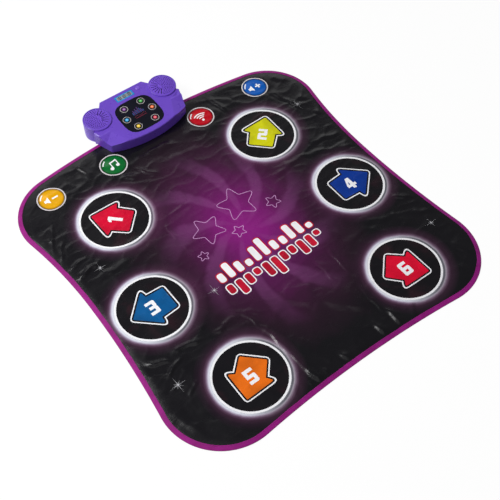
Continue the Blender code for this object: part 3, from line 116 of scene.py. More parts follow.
# Controller
CASE_Y = 541 * MM
CASE_HALF_WIDTH = 148 * MM
CASE_FRONT_Y = 452 * MM
FACE_HEIGHT = 45 * MM
PARTING_HEIGHT = 8.5 * MM
CASE_TILT = math.radians(5)
DRUM_X = 106 * MM
DRUM_Y = 21 * MM
DRUM_RISE = 3 * MM
GRILLE_RADIUS = 36 * MM
FACET_BACK = (99 * MM, -32 * MM)
FACET_FRONT = (76 * MM, -80 * MM)
FACET_SLOPE = math.radians(12)
PANEL_TOP = -0.05 * MM
PANEL_THICK = 1.1 * MM
DISPLAY_TOP = -0.15 * MM
DISPLAY_LOW = -4.6 * MM

# Sparkles printed on the sheet: place and arm length, in millimetres
SPARKLES = ((385, 305, 22), (-348, 173, 18), (-380, -203, 23), (387, -223, 18), (-167, -50, 20))


# Noise and small mesh tools


def gradient_noise(x, y, seed):
    """Smooth noise between about -1 and 1, one bump to a unit, the same on every run."""
    source = np.random.RandomState(seed)
    table = source.permutation(256)
    angle = 2 * np.pi * source.rand(256)
    x0, y0 = np.floor(x).astype(int), np.floor(y).astype(int)
    xf, yf = x - x0, y - y0

    def corner(i, j):
        way = angle[table[(table[(x0 + i) % 256] + y0 + j) % 256]]
        return np.cos(way) * (xf - i) + np.sin(way) * (yf - j)

    u = xf**3 * (xf * (xf * 6 - 15) + 10)
    v = yf**3 * (yf * (yf * 6 - 15) + 10)
    low = corner(0, 0) * (1 - u) + corner(1, 0) * u
    high = corner(0, 1) * (1 - u) + corner(1, 1) * u
    return 1.5 * (low * (1 - v) + high * v)


def ease(t):
    t = np.clip(t, 0, 1)
    return t * t * (3 - 2 * t)


def circle(centre, radius, steps):
    angle = 2 * np.pi * np.arange(steps) / steps
    return np.stack([centre[0] + radius * np.cos(angle), centre[1] + radius * np.sin(angle)], -1)


def turned(points, degrees, centre):
    """Points turned about the origin and then moved to centre."""
    a = math.radians(degrees)
    x, y = np.asarray(points, float).T
    x, y = x * math.cos(a) - y * math.sin(a), x * math.sin(a) + y * math.cos(a)
    return np.stack([x + centre[0], y + centre[1]], -1)


def unit(vectors):
    return vectors / np.hypot(vectors[:, 0], vectors[:, 1])[:, None]


def grown(loop, distance):
    """An anticlockwise loop with each edge moved outward by distance."""
    p = np.asarray(loop, float)
    before = unit(p - np.roll(p, 1, axis=0))
    after = unit(np.roll(p, -1, axis=0) - p)
    first = np.stack([before[:, 1], -before[:, 0]], -1)
    second = np.stack([after[:, 1], -after[:, 0]], -1)
    scale = distance / (1 + (first * second).sum(-1))
    return p + (first + second) * scale[:, None]


def rounded(loop, radius, hollow_radius=None, steps=4, limit=0.45):
    """An anticlockwise loop with its corners filleted; hollow corners may have their own radius."""
    p = np.asarray(loop, float)
    if hollow_radius is None:
        hollow_radius = radius
    result = []
    for i, here in enumerate(p):
        back = p[i - 1] - here
        on = p[(i + 1) % len(p)] - here
        back_length, on_length = np.hypot(*back), np.hypot(*on)
        back, on = back / back_length, on / on_length
        size = radius if back[0] * on[1] < back[1] * on[0] else hollow_radius
        half = 0.5 * math.acos(max(-1.0, min(1.0, float(back @ on))))
        reach = min(size / math.tan(half), limit * back_length, limit * on_length)
        start, stop = here + back * reach, here + on * reach
        for k in range(steps + 1):
            t = k / steps
            result.append(start * (1 - t) ** 2 + 2 * here * t * (1 - t) + stop * t**2)
    return np.array(result)


def inside(points, loop):
    """Whether each point lies inside a closed loop."""
    (left, low), (right, high) = loop.min(0), loop.max(0)
    x, y = points.T
    near = np.flatnonzero((x >= left) & (x <= right) & (y >= low) & (y <= high))
    px, py = x[near], y[near]
    inner = np.zeros(len(near), bool)
    for (x0, y0), (x1, y1) in zip(loop, np.roll(loop, -1, axis=0)):
        if y0 != y1:
            crosses = (y0 > py) != (y1 > py)
            inner ^= crosses & (px < x0 + (py - y0) * (x1 - x0) / (y1 - y0))
    hit = np.zeros(len(points), bool)
    hit[near] = inner
    return hit


def enclosed(points, outer, holes):
    """Whether each point lies inside outer and in none of the holes."""
    keep = inside(points, outer)
    for hole in holes:
        keep &= ~inside(points, hole)
    return keep


def nearest(points):
    """A function that gives the distance from each of some places to the nearest of the points."""
    tree = KDTree(len(points))
    for i, (x, y) in enumerate(points):
        tree.insert((x, y, 0), i)
    tree.balance()
    return lambda places: np.array([tree.find((x, y, 0))[2] for x, y in places])


def triangulate(outer, holes, shapes, spacing):
    """Triangles that fill outer, keep clear of holes and follow the edges of every shape."""
    loops = [outer, *holes, *shapes]
    edge_points = np.concatenate(loops)
    low, high = outer.min(0), outer.max(0)
    row = spacing * math.sqrt(3) / 2
    fill = []
    for j in range(int((high[1] - low[1]) / row) + 1):
        offset = spacing / 2 if j % 2 else 0
        for i in range(int((high[0] - low[0]) / spacing) + 1):
            fill.append((low[0] + offset + i * spacing, low[1] + j * row))
    fill = np.array(fill)
    fill = fill[enclosed(fill, outer, holes)]
    fill = fill[nearest(edge_points)(fill) > 0.55 * spacing]
    points = np.concatenate([edge_points, fill])
    edges = []
    start = 0
    for loop in loops:
        count = len(loop)
        edges += [(start + i, start + (i + 1) % count) for i in range(count)]
        start += count
    verts, _, faces, _, _, _ = delaunay_2d_cdt([Vector(p) for p in points], edges, [], 0, 1e-7)
    verts = np.array([(v.x, v.y) for v in verts])
    faces = np.array(faces)
    one, two, three = (verts[faces[:, k]] for k in range(3))
    side, far = two - one, three - one
    flip = side[:, 0] * far[:, 1] - side[:, 1] * far[:, 0] < 0
    faces[flip] = faces[flip, ::-1]
    centres = verts[faces].mean(1)
    keep = enclosed(centres, outer, holes)
    return verts, faces[keep], centres[keep]


def make_mesh(name, points, faces, sharp=None):
    """A smooth mesh; where an angle in degrees is given, edges bent further are sharp."""
    mesh = bpy.data.meshes.new(name)
    mesh.from_pydata(np.reshape(points, (-1, 3)).tolist(), [], faces)
    mesh.polygons.foreach_set("use_smooth", np.ones(len(faces), bool))
    mesh.update()
    if sharp is None:
        return mesh
    bm = bmesh.new()
    bm.from_mesh(mesh)
    loose = [v for v in bm.verts if not v.link_faces]
    bmesh.ops.delete(bm, geom=loose, context="VERTS")
    for edge in bm.edges:
        angle = edge.calc_face_angle(0)
        edge.smooth = len(edge.link_faces) == 2 and angle < math.radians(sharp)
    bm.to_mesh(mesh)
    bm.free()
    mesh.update()
    return mesh


def slab_mesh(name, outer, holes, shapes, spacing, height_of, thick):
    """A thin closed slab whose top follows height_of, with a material number for each shape.

    shapes holds (loop, material number) pairs, and a later one covers an earlier one.
    """
    verts, faces, centres = triangulate(outer, holes, [loop for loop, _ in shapes], spacing)
    kind = np.zeros(len(faces), int)
    for loop, number in shapes:
        kind[inside(centres, loop)] = number
    count = len(verts)
    top = np.column_stack([verts, height_of(verts[:, 0], verts[:, 1])])
    uses = set()
    for a, b, c in faces:
        uses.update(((a, b), (b, c), (c, a)))
    walls = [(b, a, a + count, b + count) for a, b in sorted(uses) if (b, a) not in uses]
    polygons = [tuple(f) for f in faces] + [tuple(f[::-1] + count) for f in faces] + walls
    mesh = make_mesh(name, [top, top - (0, 0, thick)], polygons, 50)
    kind = np.pad(kind, (0, len(polygons) - len(kind)))
    mesh.polygons.foreach_set("material_index", kind)
    return mesh


def link(name, data):
    item = bpy.data.objects.new(name, data)
    bpy.context.collection.objects.link(item)
    return item


def add_piece(mesh, materials, replaced=(), body="mat_and_case"):
    piece = link(mesh.name, mesh)
    for material in materials:
        mesh.materials.append(material)
    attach(piece, body)
    if replaced:
        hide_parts(*replaced)
    return piece


# Materials


def scaled(colour, factor, lift=0):
    return tuple(min(1, c * factor + lift) for c in colour)


class Nodes:
    """A node tree in which numbers, colours and sockets can be mixed as inputs."""

    def __init__(self, owner):
        owner.use_nodes = True
        self.tree = owner.node_tree

    def feed(self, value, socket):
        if isinstance(value, bpy.types.NodeSocket):
            self.tree.links.new(value, socket)
        elif socket.type == "RGBA":
            socket.default_value = (*value, 1)
        else:
            socket.default_value = value

    def node(self, kind, inputs=(), **settings):
        """A new node; inputs are values for its first sockets, or for named ones."""
        node = self.tree.nodes.new(f"ShaderNode{kind}")
        for name, value in settings.items():
            setattr(node, name, value)
        named = inputs.items() if isinstance(inputs, dict) else enumerate(inputs)
        for key, value in named:
            self.feed(value, node.inputs[key])
        return node

    def math(self, operation, a, b=0):
        return self.node("Math", (a, b), operation=operation).outputs[0]

    def plus(self, a, b):
        return self.math("ADD", a, b)

    def minus(self, a, b):
        return self.math("SUBTRACT", a, b)

    def times(self, a, b):
        return self.math("MULTIPLY", a, b)

    def over(self, a, b):
        return self.math("DIVIDE", a, b)

    def seen_by(self, *kinds):
        """1 on rays of the named kinds and 0 on all others."""
        path = self.node("LightPath")
        share = 0
        for kind in kinds:
            share = self.math("MAXIMUM", share, path.outputs[f"Is {kind} Ray"])
        return share


class Shade(Nodes):
    """The nodes of one new material."""

    def __init__(self, name):
        self.material = bpy.data.materials.new(name)
        super().__init__(self.material)
        self.surface = self.tree.nodes["Principled BSDF"]
        self.place = self.node("TexCoord").outputs["Object"]

    def set(self, **values):
        for name, value in values.items():
            self.feed(value, self.surface.inputs[name.replace("_", " ")])

    def wave(self, value, pitch):
        return self.math("SINE", self.times(value, 2 * math.pi / pitch))

    def vector(self, operation, a, b=(0, 0, 0)):
        return self.node("VectorMath", (a, b), operation=operation).outputs["Vector"]

    def distance(self, a, b=(0, 0, 0)):
        return self.node("VectorMath", (a, b), operation="DISTANCE").outputs["Value"]

    def split(self, vector):
        return self.node("SeparateXYZ", (vector,)).outputs

    def join(self, x, y):
        return self.node("CombineXYZ", (x, y)).outputs[0]

    def fit(self, value, low, high, to_low=0, to_high=1, kind="SMOOTHSTEP"):
        inputs = (value, low, high, to_low, to_high)
        return self.node("MapRange", inputs, interpolation_type=kind).outputs[0]

    def mix(self, share, a, b, blend="MIX"):
        inputs = {0: share, 6: a, 7: b}
        return self.node("Mix", inputs, data_type="RGBA", blend_type=blend).outputs[2]

    def ramp(self, value, *stops):
        """Colour by value; each stop is its place and its three colour parts."""
        node = self.node("ValToRGB", (value,))
        elements = node.color_ramp.elements
        while len(elements) < len(stops):
            elements.new(1)
        for element, (place, *colour) in zip(elements, stops):
            element.position = place
            element.color = (*colour, 1)
        return node.outputs[0]

    def noise(self, scale, detail=2, rough=0.5, warp=0, vector=None):
        inputs = {
            "Vector": vector or self.place,
            "Scale": scale,
            "Detail": detail,
            "Roughness": rough,
            "Distortion": warp,
        }
        return self.node("TexNoise", inputs).outputs[0]

    def bump(self, height, distance, strength, normal=None):
        inputs = {"Strength": strength, "Distance": distance, "Height": height}
        if normal:
            inputs["Normal"] = normal
        bent = self.node("Bump", inputs).outputs[0]
        self.set(Normal=bent)
        return bent


def vinyl_finish(shade, colour, shine=0.26):
    """Gloss, grain and fine creasing that every printed colour of the mat shares."""
    gloss = shade.fit(shade.noise(14, 3, 0.6), 0.3, 0.7, 0.22, 0.32)
    shade.set(Base_Color=colour, Roughness=gloss, Specular_IOR_Level=shine)
    long_way = shade.vector("MULTIPLY", shade.place, (26, 64, 40))
    crease = shade.noise(1, 3, 0.6, 0.9, long_way)
    folded = shade.math("ABSOLUTE", shade.minus(crease, 0.5))
    soft = shade.bump(folded, 1.3 * MM, 0.5)
    shade.bump(shade.noise(1400, 2, 0.6), 0.04 * MM, 0.2, soft)


def ink(name, colour, shift):
    """A printed colour, a little uneven where the ink lies thinner."""
    shade = Shade(name)
    cloud = shade.fit(shade.noise(22, 3, 0.55), 0.35, 0.65)
    vinyl_finish(shade, shade.mix(cloud, scaled(colour, 1 - shift), scaled(colour, 1 + shift)))
    return shade.material


VINYL_BLACK = (0.0052, 0.0046, 0.0068)


def dark_vinyl(name):
    """The black of the round fields, with a faint plum cloud in it."""
    shade = Shade(name)
    cloud = shade.fit(shade.noise(17, 2, 0.5, 0.6), 0.5, 0.78)
    vinyl_finish(shade, shade.mix(cloud, VINYL_BLACK, (0.022, 0.007, 0.012)))
    return shade.material


def disc_ink(name, colour, centre):
    """A round printed button: deep at its rim and paler where the printed light falls."""
    shade = Shade(name)
    rim = shade.fit(shade.distance(shade.place, (*centre, SHEET_TOP)), 27 * MM, 34 * MM)
    glint_centre = (centre[0] - 13 * MM, centre[1] + 14 * MM, SHEET_TOP)
    glint = shade.fit(shade.distance(shade.place, glint_centre), 17 * MM, 2 * MM)
    tone = shade.mix(rim, colour, scaled(colour, 0.42))
    tone = shade.mix(shade.times(glint, 0.6), tone, scaled(colour, 1.25, 0.05))
    vinyl_finish(shade, tone, 0.17)
    return shade.material


def middle_glow(shade, x, y, haze):
    """A swirling purple glow in the middle of the sheet, fading to black."""
    gx = shade.over(shade.minus(x, 0.006), 0.245)
    gy = shade.over(shade.minus(y, 0.058), 0.325)
    reach = shade.plus(shade.distance(shade.join(gx, gy)), shade.times(haze, 0.35))
    turns = shade.times(shade.math("ARCTAN2", gy, gx), 9)
    blades = shade.fit(shade.math("SINE", shade.plus(turns, shade.times(reach, -7.5))), 0.1, 0.9)
    blades = shade.times(blades, shade.fit(reach, 0, 0.35))
    blades = shade.times(blades, shade.fit(reach, 1, 0.5))
    colour = shade.ramp(
        shade.over(reach, 1.2),
        (0, 0.265, 0.012, 0.215),
        (0.2, 0.195, 0.009, 0.158),
        (0.4, 0.098, 0.008, 0.078),
        (0.6, 0.044, 0.007, 0.034),
        (0.8, 0.018, 0.006, 0.015),
        (1, *VINYL_BLACK),
    )
    return shade.mix(shade.times(blades, 0.16), colour, (0.42, 0.13, 0.40))


def field_halo(shade, x, y, haze):
    """A soft halo round the nearest large field, brighter on its left."""
    wide = shade.math("LESS_THAN", shade.math("ABSOLUTE", y), FIELD_ROW_SPLIT)
    reach = shade.fit(wide, 0, 1, FIELDS[2][0], FIELDS[4][0], "LINEAR")
    back_row = shade.times(shade.math("GREATER_THAN", y, FIELD_ROW_SPLIT), FIELDS[1][1])
    front_row = shade.times(shade.math("LESS_THAN", y, -FIELD_ROW_SPLIT), FIELDS[5][1])
    dx = shade.minus(x, shade.times(shade.math("SIGN", x), reach))
    dy = shade.minus(y, shade.plus(back_row, front_row))
    ring = shade.distance(shade.join(dx, dy))
    lean = math.radians(-25)
    facing = shade.plus(shade.times(dx, math.cos(lean)), shade.times(dy, math.sin(lean)))
    lit = shade.fit(shade.over(facing, ring), 0.75, -0.55)
    ring = shade.plus(ring, shade.times(haze, 0.006))
    spot = shade.over(shade.minus(ring, 0.0915), 0.040)
    bright = shade.ramp(
        spot,
        (0, 0.74, 0.76, 0.84),
        (0.11, 0.70, 0.71, 0.81),
        (0.17, 0.44, 0.38, 0.50),
        (0.23, 0.22, 0.15, 0.23),
        (0.31, 0.09, 0.041, 0.080),
        (0.43, 0.033, 0.009, 0.025),
        (0.65, 0.010, 0.002, 0.008),
        (1, 0, 0, 0),
    )
    dim = shade.ramp(
        spot,
        (0, 0.30, 0.30, 0.33),
        (0.045, 0.10, 0.10, 0.12),
        (0.10, 0.12, 0.12, 0.14),
        (0.17, 0.37, 0.33, 0.39),
        (0.23, 0.23, 0.17, 0.23),
        (0.33, 0.10, 0.053, 0.09),
        (0.46, 0.030, 0.009, 0.023),
        (1, 0, 0, 0),
    )
    return shade.mix(lit, dim, bright)


def sheet_vinyl(name):
    """The main sheet: black, with the glow, the halos and a small haze round each sparkle."""
    shade = Shade(name)
    x, y, _ = shade.split(shade.place)
    haze = shade.minus(shade.noise(9, 3, 0.6, 0.4), 0.5)
    glow = middle_glow(shade, x, y, haze)
    colour = shade.mix(1, glow, field_halo(shade, x, y, haze), "ADD")
    for sx, sy, size in SPARKLES:
        away = shade.distance(shade.place, (sx * MM, sy * MM, SHEET_TOP))
        puff = shade.fit(away, 0.40 * size * MM, 0)
        colour = shade.mix(shade.times(puff, 0.12), colour, (0.8, 0.8, 0.85))
    vinyl_finish(shade, colour)
    return shade.material


def ribbon(name):
    """Woven ribbon: fine cross ribs, a satin sheen and slightly uneven dye."""
    shade = Shade(name)
    x, y, _ = shade.split(shade.place)
    cloud = shade.noise(30, 3, 0.6)
    dye = shade.mix(shade.fit(cloud, 0.3, 0.7), (0.258, 0.003, 0.172), (0.330, 0.006, 0.228))
    shade.set(Base_Color=dye, Roughness=0.62, Specular_IOR_Level=0.22, Sheen_Weight=0.06)
    weave = shade.times(shade.wave(x, 0.9 * MM), shade.wave(y, 0.9 * MM))
    shade.bump(shade.plus(weave, shade.times(cloud, 2)), 0.10 * MM, 0.5)
    return shade.material


def plastic(name, colour, rough, grain=900, depth=0.04, worn=0.06, gloss=0.5):
    """Moulded plastic with a fine texture and a faint drift in colour."""
    shade = Shade(name)
    cloud = shade.fit(shade.noise(18, 3, 0.55), 0.3, 0.7)
    shade.set(
        Base_Color=shade.mix(cloud, scaled(colour, 1 - worn), scaled(colour, 1 + worn)),
        Roughness=shade.fit(shade.noise(60), 0.3, 0.7, rough - 0.02, rough + 0.02),
        Specular_IOR_Level=gloss,
    )
    shade.bump(shade.noise(grain), depth * MM, 0.4)
    return shade.material


def cloth(name, colour, pitch):
    """Coarse non-slip cloth with a grid of raised grip dots."""
    shade = Shade(name)
    x, y, _ = shade.split(shade.place)
    dots = shade.fit(shade.times(shade.wave(x, pitch), shade.wave(y, pitch)), 0.35, 0.75)
    shade.set(
        Base_Color=shade.mix(dots, colour, scaled(colour, 2.2)),
        Roughness=shade.fit(dots, 0, 1, 0.92, 0.7),
    )
    shade.bump(shade.plus(dots, shade.noise(1200)), 0.3 * MM, 0.6)
    return shade.material


def metal(name, colour, rough):
    shade = Shade(name)
    shade.set(
        Base_Color=shade.mix(shade.noise(60, 3), scaled(colour, 0.85), colour),
        Metallic=1,
        Roughness=shade.fit(shade.noise(300, 3), 0.3, 0.7, rough, rough + 0.12),
    )
    shade.bump(shade.noise(2200), 0.02 * MM, 0.3)
    return shade.material


def lamp_lens(name, colour, centre):
    """A tinted window with a six-rayed light behind it that fades to black at its rim."""
    shade = Shade(name)
    local = shade.vector("SUBTRACT", shade.place, centre)
    x, y, _ = shade.split(local)
    rays = shade.math("SINE", shade.times(shade.math("ARCTAN2", y, x), 6))
    away = shade.minus(shade.distance(local), shade.times(rays, 0.7 * MM))
    body = shade.fit(away, 6.2 * MM, 3.4 * MM)
    core = shade.fit(away, 3 * MM, 0.2 * MM)
    tint = shade.mix(core, colour, scaled(colour, 0.45, 0.5))
    lit = shade.mix(body, (0.010, 0.009, 0.012), tint)
    shade.set(Base_Color=lit, Emission_Color=lit, Emission_Strength=0.22, Roughness=0.22)
    shade.bump(shade.noise(500), 0.03 * MM, 0.3)
    return shade.material


# Mat outline and the lie of the cloth


def turn(start, end, steps):
    """Unit vectors that turn the short way from start to end, both included."""
    first = math.atan2(start.y, start.x)
    sweep = math.atan2(start.cross(end), start.dot(end))
    angles = [first + sweep * i / steps for i in range(steps + 1)]
    return [Vector((math.cos(a), math.sin(a))) for a in angles]


def bridge(corner, corner_radius, middle, normal):
    """The arc through middle, square to normal, that runs into the corner circle."""
    reach = middle - corner
    along = reach.dot(normal)
    radius = (reach.length_squared - corner_radius**2) / (2 * (corner_radius - along))
    centre = middle + normal * radius
    return radius, centre, (centre - corner) / (radius + corner_radius)


def mat_outline():
    """The mat's edge in even steps, turned a little as the sewn mat in the photo is."""
    right, front, back = Vector((1, 0)), Vector((0, -1)), Vector((0, 1))
    waist = Vector(MAT_WAIST)
    front_middle = Vector((0, MAT_FRONT_Y))
    back_middle = Vector((0, MAT_BACK_Y))
    side = []
    for corner, radius, entry, entry_normal, leave, leave_normal in (
        (Vector(FRONT_CORNER), FRONT_CORNER_RADIUS, front_middle, front, waist, right),
        (Vector(BACK_CORNER), BACK_CORNER_RADIUS, waist, right, back_middle, back),
    ):
        first = bridge(corner, radius, entry, entry_normal)
        second = bridge(corner, radius, leave, leave_normal)
        side += [first[1] - w * first[0] for w in turn(entry_normal, first[2], 40)][:-1]
        side += [corner + w * radius for w in turn(first[2], second[2], 60)]
        side += [second[1] - w * second[0] for w in turn(second[2], leave_normal, 40)][1:-1]
    half = [(p.x, p.y) for p in side] + [tuple(back_middle)]
    closed = np.array(half + [(-x, y) for x, y in reversed(half[1:-1])] + half[:1])
    length = np.concatenate([[0], np.cumsum(np.hypot(*np.diff(closed, axis=0).T))])
    even = np.linspace(0, length[-1], int(length[-1] / ARC_STEP), endpoint=False)
    loop = np.column_stack([np.interp(even, length, column) for column in closed.T])
    return turned(loop, OUTLINE_TURN, (OUTLINE_SHIFT, 0))


# Folds and creases of the cloth: start, end, half width and height, all in millimetres
CREASES = (
    (-424, 268, -372, 362, 3, 1.5), (-430, 348, -382, 360, 4, -0.9), (-420, 176, -330, 190, 4, 2.2),
    (-424, 206, -352, 222, 3.5, 1.6), (-418, 236, -378, 300, 3, 1.6), (-412, 158, -300, 172, 6, -1),
    (-385, 140, -262, 150, 5, 1.1), (-330, 196, -170, 184, 6, 1.2), (-250, 168, -150, 196, 5, 0.9),
    (-422, -112, -352, -148, 4, 2.2), (-424, -134, -372, -168, 4, -1.6), (-396, -176, -330, -150, 3.5, 1.7),
    (-414, -206, -340, -176, 3.5, -1.4), (-378, -246, -336, -214, 3, 1.2), (-352, -128, -255, -142, 5, 1.8),
    (-330, -146, -232, -150, 4.5, -1), (-300, -118, -228, -112, 4, 0.9), (-250, -150, -150, -138, 5, 1.4),
    (-192, -112, -108, -172, 5, 1.2), (-156, -128, -140, -205, 4, 1), (-146, 196, -152, 120, 3, 0.9),
    (-150, 120, -146, 40, 2.6, 0.6), (-140, -180, -128, -372, 5, 1.5), (-122, -190, -112, -330, 6, -0.9),
    (127, -110, 120, -215, 3.2, 1.3), (120, -215, 110, -372, 4, 1.2), (84, -112, 76, -232, 3, 1),
    (126, 160, 132, 60, 2.6, 0.6), (-70, -152, 30, -232, 22, 2.8), (0, -210, 112, -322, 20, 3),
    (-118, -205, -20, -330, 18, -1.4), (-130, 200, -40, 203, 3, 0.9), (-40, 203, 70, 198, 3, 0.7),
    (-60, 150, 60, 158, 4, 0.5), (-150, 92, -60, 98, 3.5, 0.6), (10, 48, 120, 40, 4, 0.5),
    (150, 130, 262, 150, 5, 1.2), (170, 172, 300, 158, 6, -0.9), (262, 150, 360, 118, 5, 1.3),
    (318, 170, 424, 150, 5, 1.6), (330, 132, 420, 128, 5, -1.1), (352, 112, 424, 96, 4.5, 1.3),
    (352, -96, 420, -140, 5, 1.7), (318, -128, 396, -160, 6, -1.1), (240, -118, 330, -150, 6, 1.2),
    (150, -146, 258, -132, 6, 1), (362, -170, 424, -196, 5, 1.2), (352, 398, 372, 340, 5, 1.5),
    (366, 356, 388, 282, 4, 1.4), (396, 330, 430, 300, 5, 1.1), (402, 262, 432, 222, 5, 1.2),
    (198, 484, 214, 396, 5, 1.7), (222, 470, 262, 432, 6, -1.1), (236, 500, 300, 470, 6, 1.1),
    (392, 448, 424, 398, 8, 1), (-222, 500, -212, 420, 6, 1.4), (-276, 488, -248, 420, 7, -0.9),
    (-158, 384, -108, 352, 5, 1.7), (-150, 362, -78, 322, 5, -1), (-112, 392, -62, 330, 4.5, 1.3),
    (-60, 412, 40, 398, 9, 2), (-30, 376, 92, 368, 9, -1.2), (62, 412, 128, 384, 8, 1.7),
    (-92, 436, 60, 430, 7, 1.4), (-190, -398, -178, -352, 4, 1.3), (-160, -398, -138, -362, 4.5, -1),
    (166, -402, 184, -362, 4.5, 1.8), (190, -404, 216, -372, 5, -1.3), (228, -404, 262, -384, 5, 1.3),
    (-40, -388, 62, -394, 6, 1), (-132, -330, -118, -412, 4.5, 2.2), (-96, -352, -74, -410, 5, -1.6),
    (-40, -356, -34, -410, 4.5, 2), (22, -352, 34, -412, 5, -1.7), (66, -346, 84, -410, 5, 2.2),
    (118, -328, 128, -412, 4.5, 2.4), (142, -352, 150, -410, 4, -1.5), (382, -292, 414, -372, 9, 1.4),
    (352, -342, 386, -396, 8, -0.9), (-436, -242, -402, -342, 9, 0.9), (-410, -262, -372, -382, 9, -0.6),
    (-352, -378, -262, -402, 8, 0.7), (-398, 92, -424, 20, 6, 0.9), (404, 60, 428, -30, 6, 1),
)


def case_cover(x, y):
    """1 under the controller, falling to 0 a little way in front of it."""
    beside = np.maximum(np.abs(x) - CASE_HALF_WIDTH, 0)
    before = np.maximum(CASE_FRONT_Y - y, 0)
    return ease(1 - np.hypot(beside, before) / (24 * MM))


def crease_rise(u, v):
    """Height of the long folds at a place in millimetres, in millimetres."""
    bent_u = u + 5 * gradient_noise(u / 31, v / 31, 21)
    bent_v = v + 5 * gradient_noise(u / 31, v / 31, 22)
    total = np.zeros_like(u)
    for x0, y0, x1, y1, width, height in CREASES:
        run = math.hypot(x1 - x0, y1 - y0)
        ex, ey = (x1 - x0) / run, (y1 - y0) / run
        du, dv = bent_u - x0, bent_v - y0
        along = (du * ex + dv * ey) / run
        across = (dv * ex - du * ey) / (1.3 * width)
        taper = ease(along / 0.35) * ease((1 - along) / 0.35)
        broad = np.where(across > 0, across / 1.5, across / 0.75)
        ridge = np.exp(-(broad**2)) - 0.35 * np.exp(-(((across + 1.5) / 0.8) ** 2))
        total += 1.9 * height * taper * ridge
    return total


def cloth_rise(x, y):
    """How far the cloth stands above its flat height."""
    u, v = x / MM, y / MM
    warp_u = 11 * gradient_noise(u / 62, v / 62, 31)
    warp_v = 11 * gradient_noise(u / 62, v / 62, 32)
    busy = 1 - 0.55 * np.exp(-((u / 210) ** 2 + ((v - 60) / 210) ** 2) ** 2)
    for cx, cy in FIELDS.values():
        busy = busy * (1 - 0.55 * ease((104 - np.hypot(u - cx / MM, v - cy / MM)) / 16))
    fold = 1 - np.abs(gradient_noise((u + warp_u) / 84, (v + warp_v) / 37, 33))
    fine = 1 - np.abs(gradient_noise((u + warp_v) / 33, (v + warp_u) / 26, 34))
    slow = gradient_noise(u / 170, v / 130, 35)
    total = 0.35 + 0.45 * slow + busy * (1.5 * (fold**4 - 0.2) + 0.3 * (fine**5 - 0.2))
    total += crease_rise(u, v) * (0.6 + 0.4 * busy)
    return np.clip(total, -0.2, 5) * MM * (1 - 0.93 * case_cover(x, y))


def field_height(x, y):
    return SHEET_TOP + cloth_rise(x, y)


def sheet_height(loop):
    """Height of the main sheet, which runs down to its bound edge."""
    distance = nearest(loop)

    def height_of(x, y):
        away = distance(np.column_stack([x, y]))
        share = np.clip((away - EDGE_RISE_START) / (EDGE_RISE_END - EDGE_RISE_START), 0, 1)
        share = share * (2 - share)
        front = ease((-320 * MM - y) / (50 * MM)) * ease((200 * MM - np.abs(x)) / (50 * MM))
        loose = ease((away - 11 * MM) / (35 * MM - 15 * MM * front))
        return EDGE_SHEET_TOP + share * (SHEET_TOP - EDGE_SHEET_TOP) + loose * cloth_rise(x, y)

    return height_of


# Printed shapes, in millimetres round the middle of each field

ARROW = (
    (60.3, 0), (4.5, 53.2), (1.5, 34.6), (-44.7, 32), (-44.7, -32), (1.5, -34.6), (4.5, -53.2),
)
ARROW_GAP = 4
ARROW_LINE = 3.2
DIGIT_CENTRE = (12.5, 19.5)
DIGITS = {
    1: (((2.5, 26), (9, 28.5), (9, 0), (18.5, 0), (18.5, 38.5), (10.5, 38.5), (2.5, 33.5)),),
    2: (
        ((0, 0), (25, 0), (25, 8.5), (8.5, 8.5), (8.5, 15), (22, 15), (25, 18), (25, 38.5), (0, 38.5),
         (0, 30), (16.5, 30), (16.5, 23.5), (3, 23.5), (0, 20.5)),
    ),
    3: (
        ((0, 0), (22, 0), (25, 3), (25, 17), (23, 19.25), (25, 21.5), (25, 35.5), (22, 38.5), (0, 38.5),
         (0, 30), (16, 30), (16, 23.3), (4, 23.3), (4, 15.2), (16, 15.2), (16, 8.5), (0, 8.5)),
    ),
    4: (
        ((11.5, 0), (20.5, 0), (20.5, 8), (27, 8), (27, 16), (20.5, 16), (20.5, 38.5), (10.5, 38.5),
         (0, 15), (0, 8), (11.5, 8)),
        ((6.8, 16), (11.5, 16), (11.5, 27.5)),
    ),
    5: (
        ((0, 0), (22, 0), (25, 3), (25, 20.5), (22, 23.5), (8.5, 23.5), (8.5, 30), (25, 30), (25, 38.5),
         (0, 38.5), (0, 15), (16.5, 15), (16.5, 8.5), (0, 8.5)),
    ),
    6: (
        ((3, 0), (22, 0), (25, 3), (25, 20.5), (22, 23.5), (8.5, 23.5), (8.5, 30), (23.5, 30),
         (23.5, 38.5), (3, 38.5), (0, 35.5), (0, 3)),
        ((8.5, 8.5), (16.5, 8.5), (16.5, 15), (8.5, 15)),
    ),
}
SPEAKER_ICON = ((-20, -4.5), (-14.5, -4.5), (-6, -11.5), (-6, 11.5), (-14.5, 4.5), (-20, 4.5))
PLUS_ICON = (
    (8.1, -8.5), (12.9, -8.5), (12.9, -2.4), (19, -2.4), (19, 2.4), (12.9, 2.4),
    (12.9, 8.5), (8.1, 8.5), (8.1, 2.4), (2, 2.4), (2, -2.4), (8.1, -2.4),
)
NOTE_ICON = (
    (-7.2, -10), (-4.4, -10), (-4.4, 8.2), (11.8, 11), (11.8, -6.5), (14.6, -6.5), (14.6, 16.5),
    (-7.2, 12.7),
)

# Stars outlined at the centre: place, size and lean in degrees
STARS = ((-72, 104, 52, 16), (38, 128, 62, -9), (114, 76, 24, 20), (-12, 54, 22, 4), (-128, 46, 17, -14))


def sector(centre, inner, outer, start, stop, steps=14):
    """A band of a ring between two angles in degrees, anticlockwise."""
    angle = np.radians(np.linspace(start, stop, steps))
    out = np.stack([np.cos(angle), np.sin(angle)], -1)
    return np.concatenate([out * outer, out[::-1] * inner]) + centre


def box_loop(x0, y0, x1, y1):
    return np.array([(x0, y0), (x1, y0), (x1, y1), (x0, y1)], float)


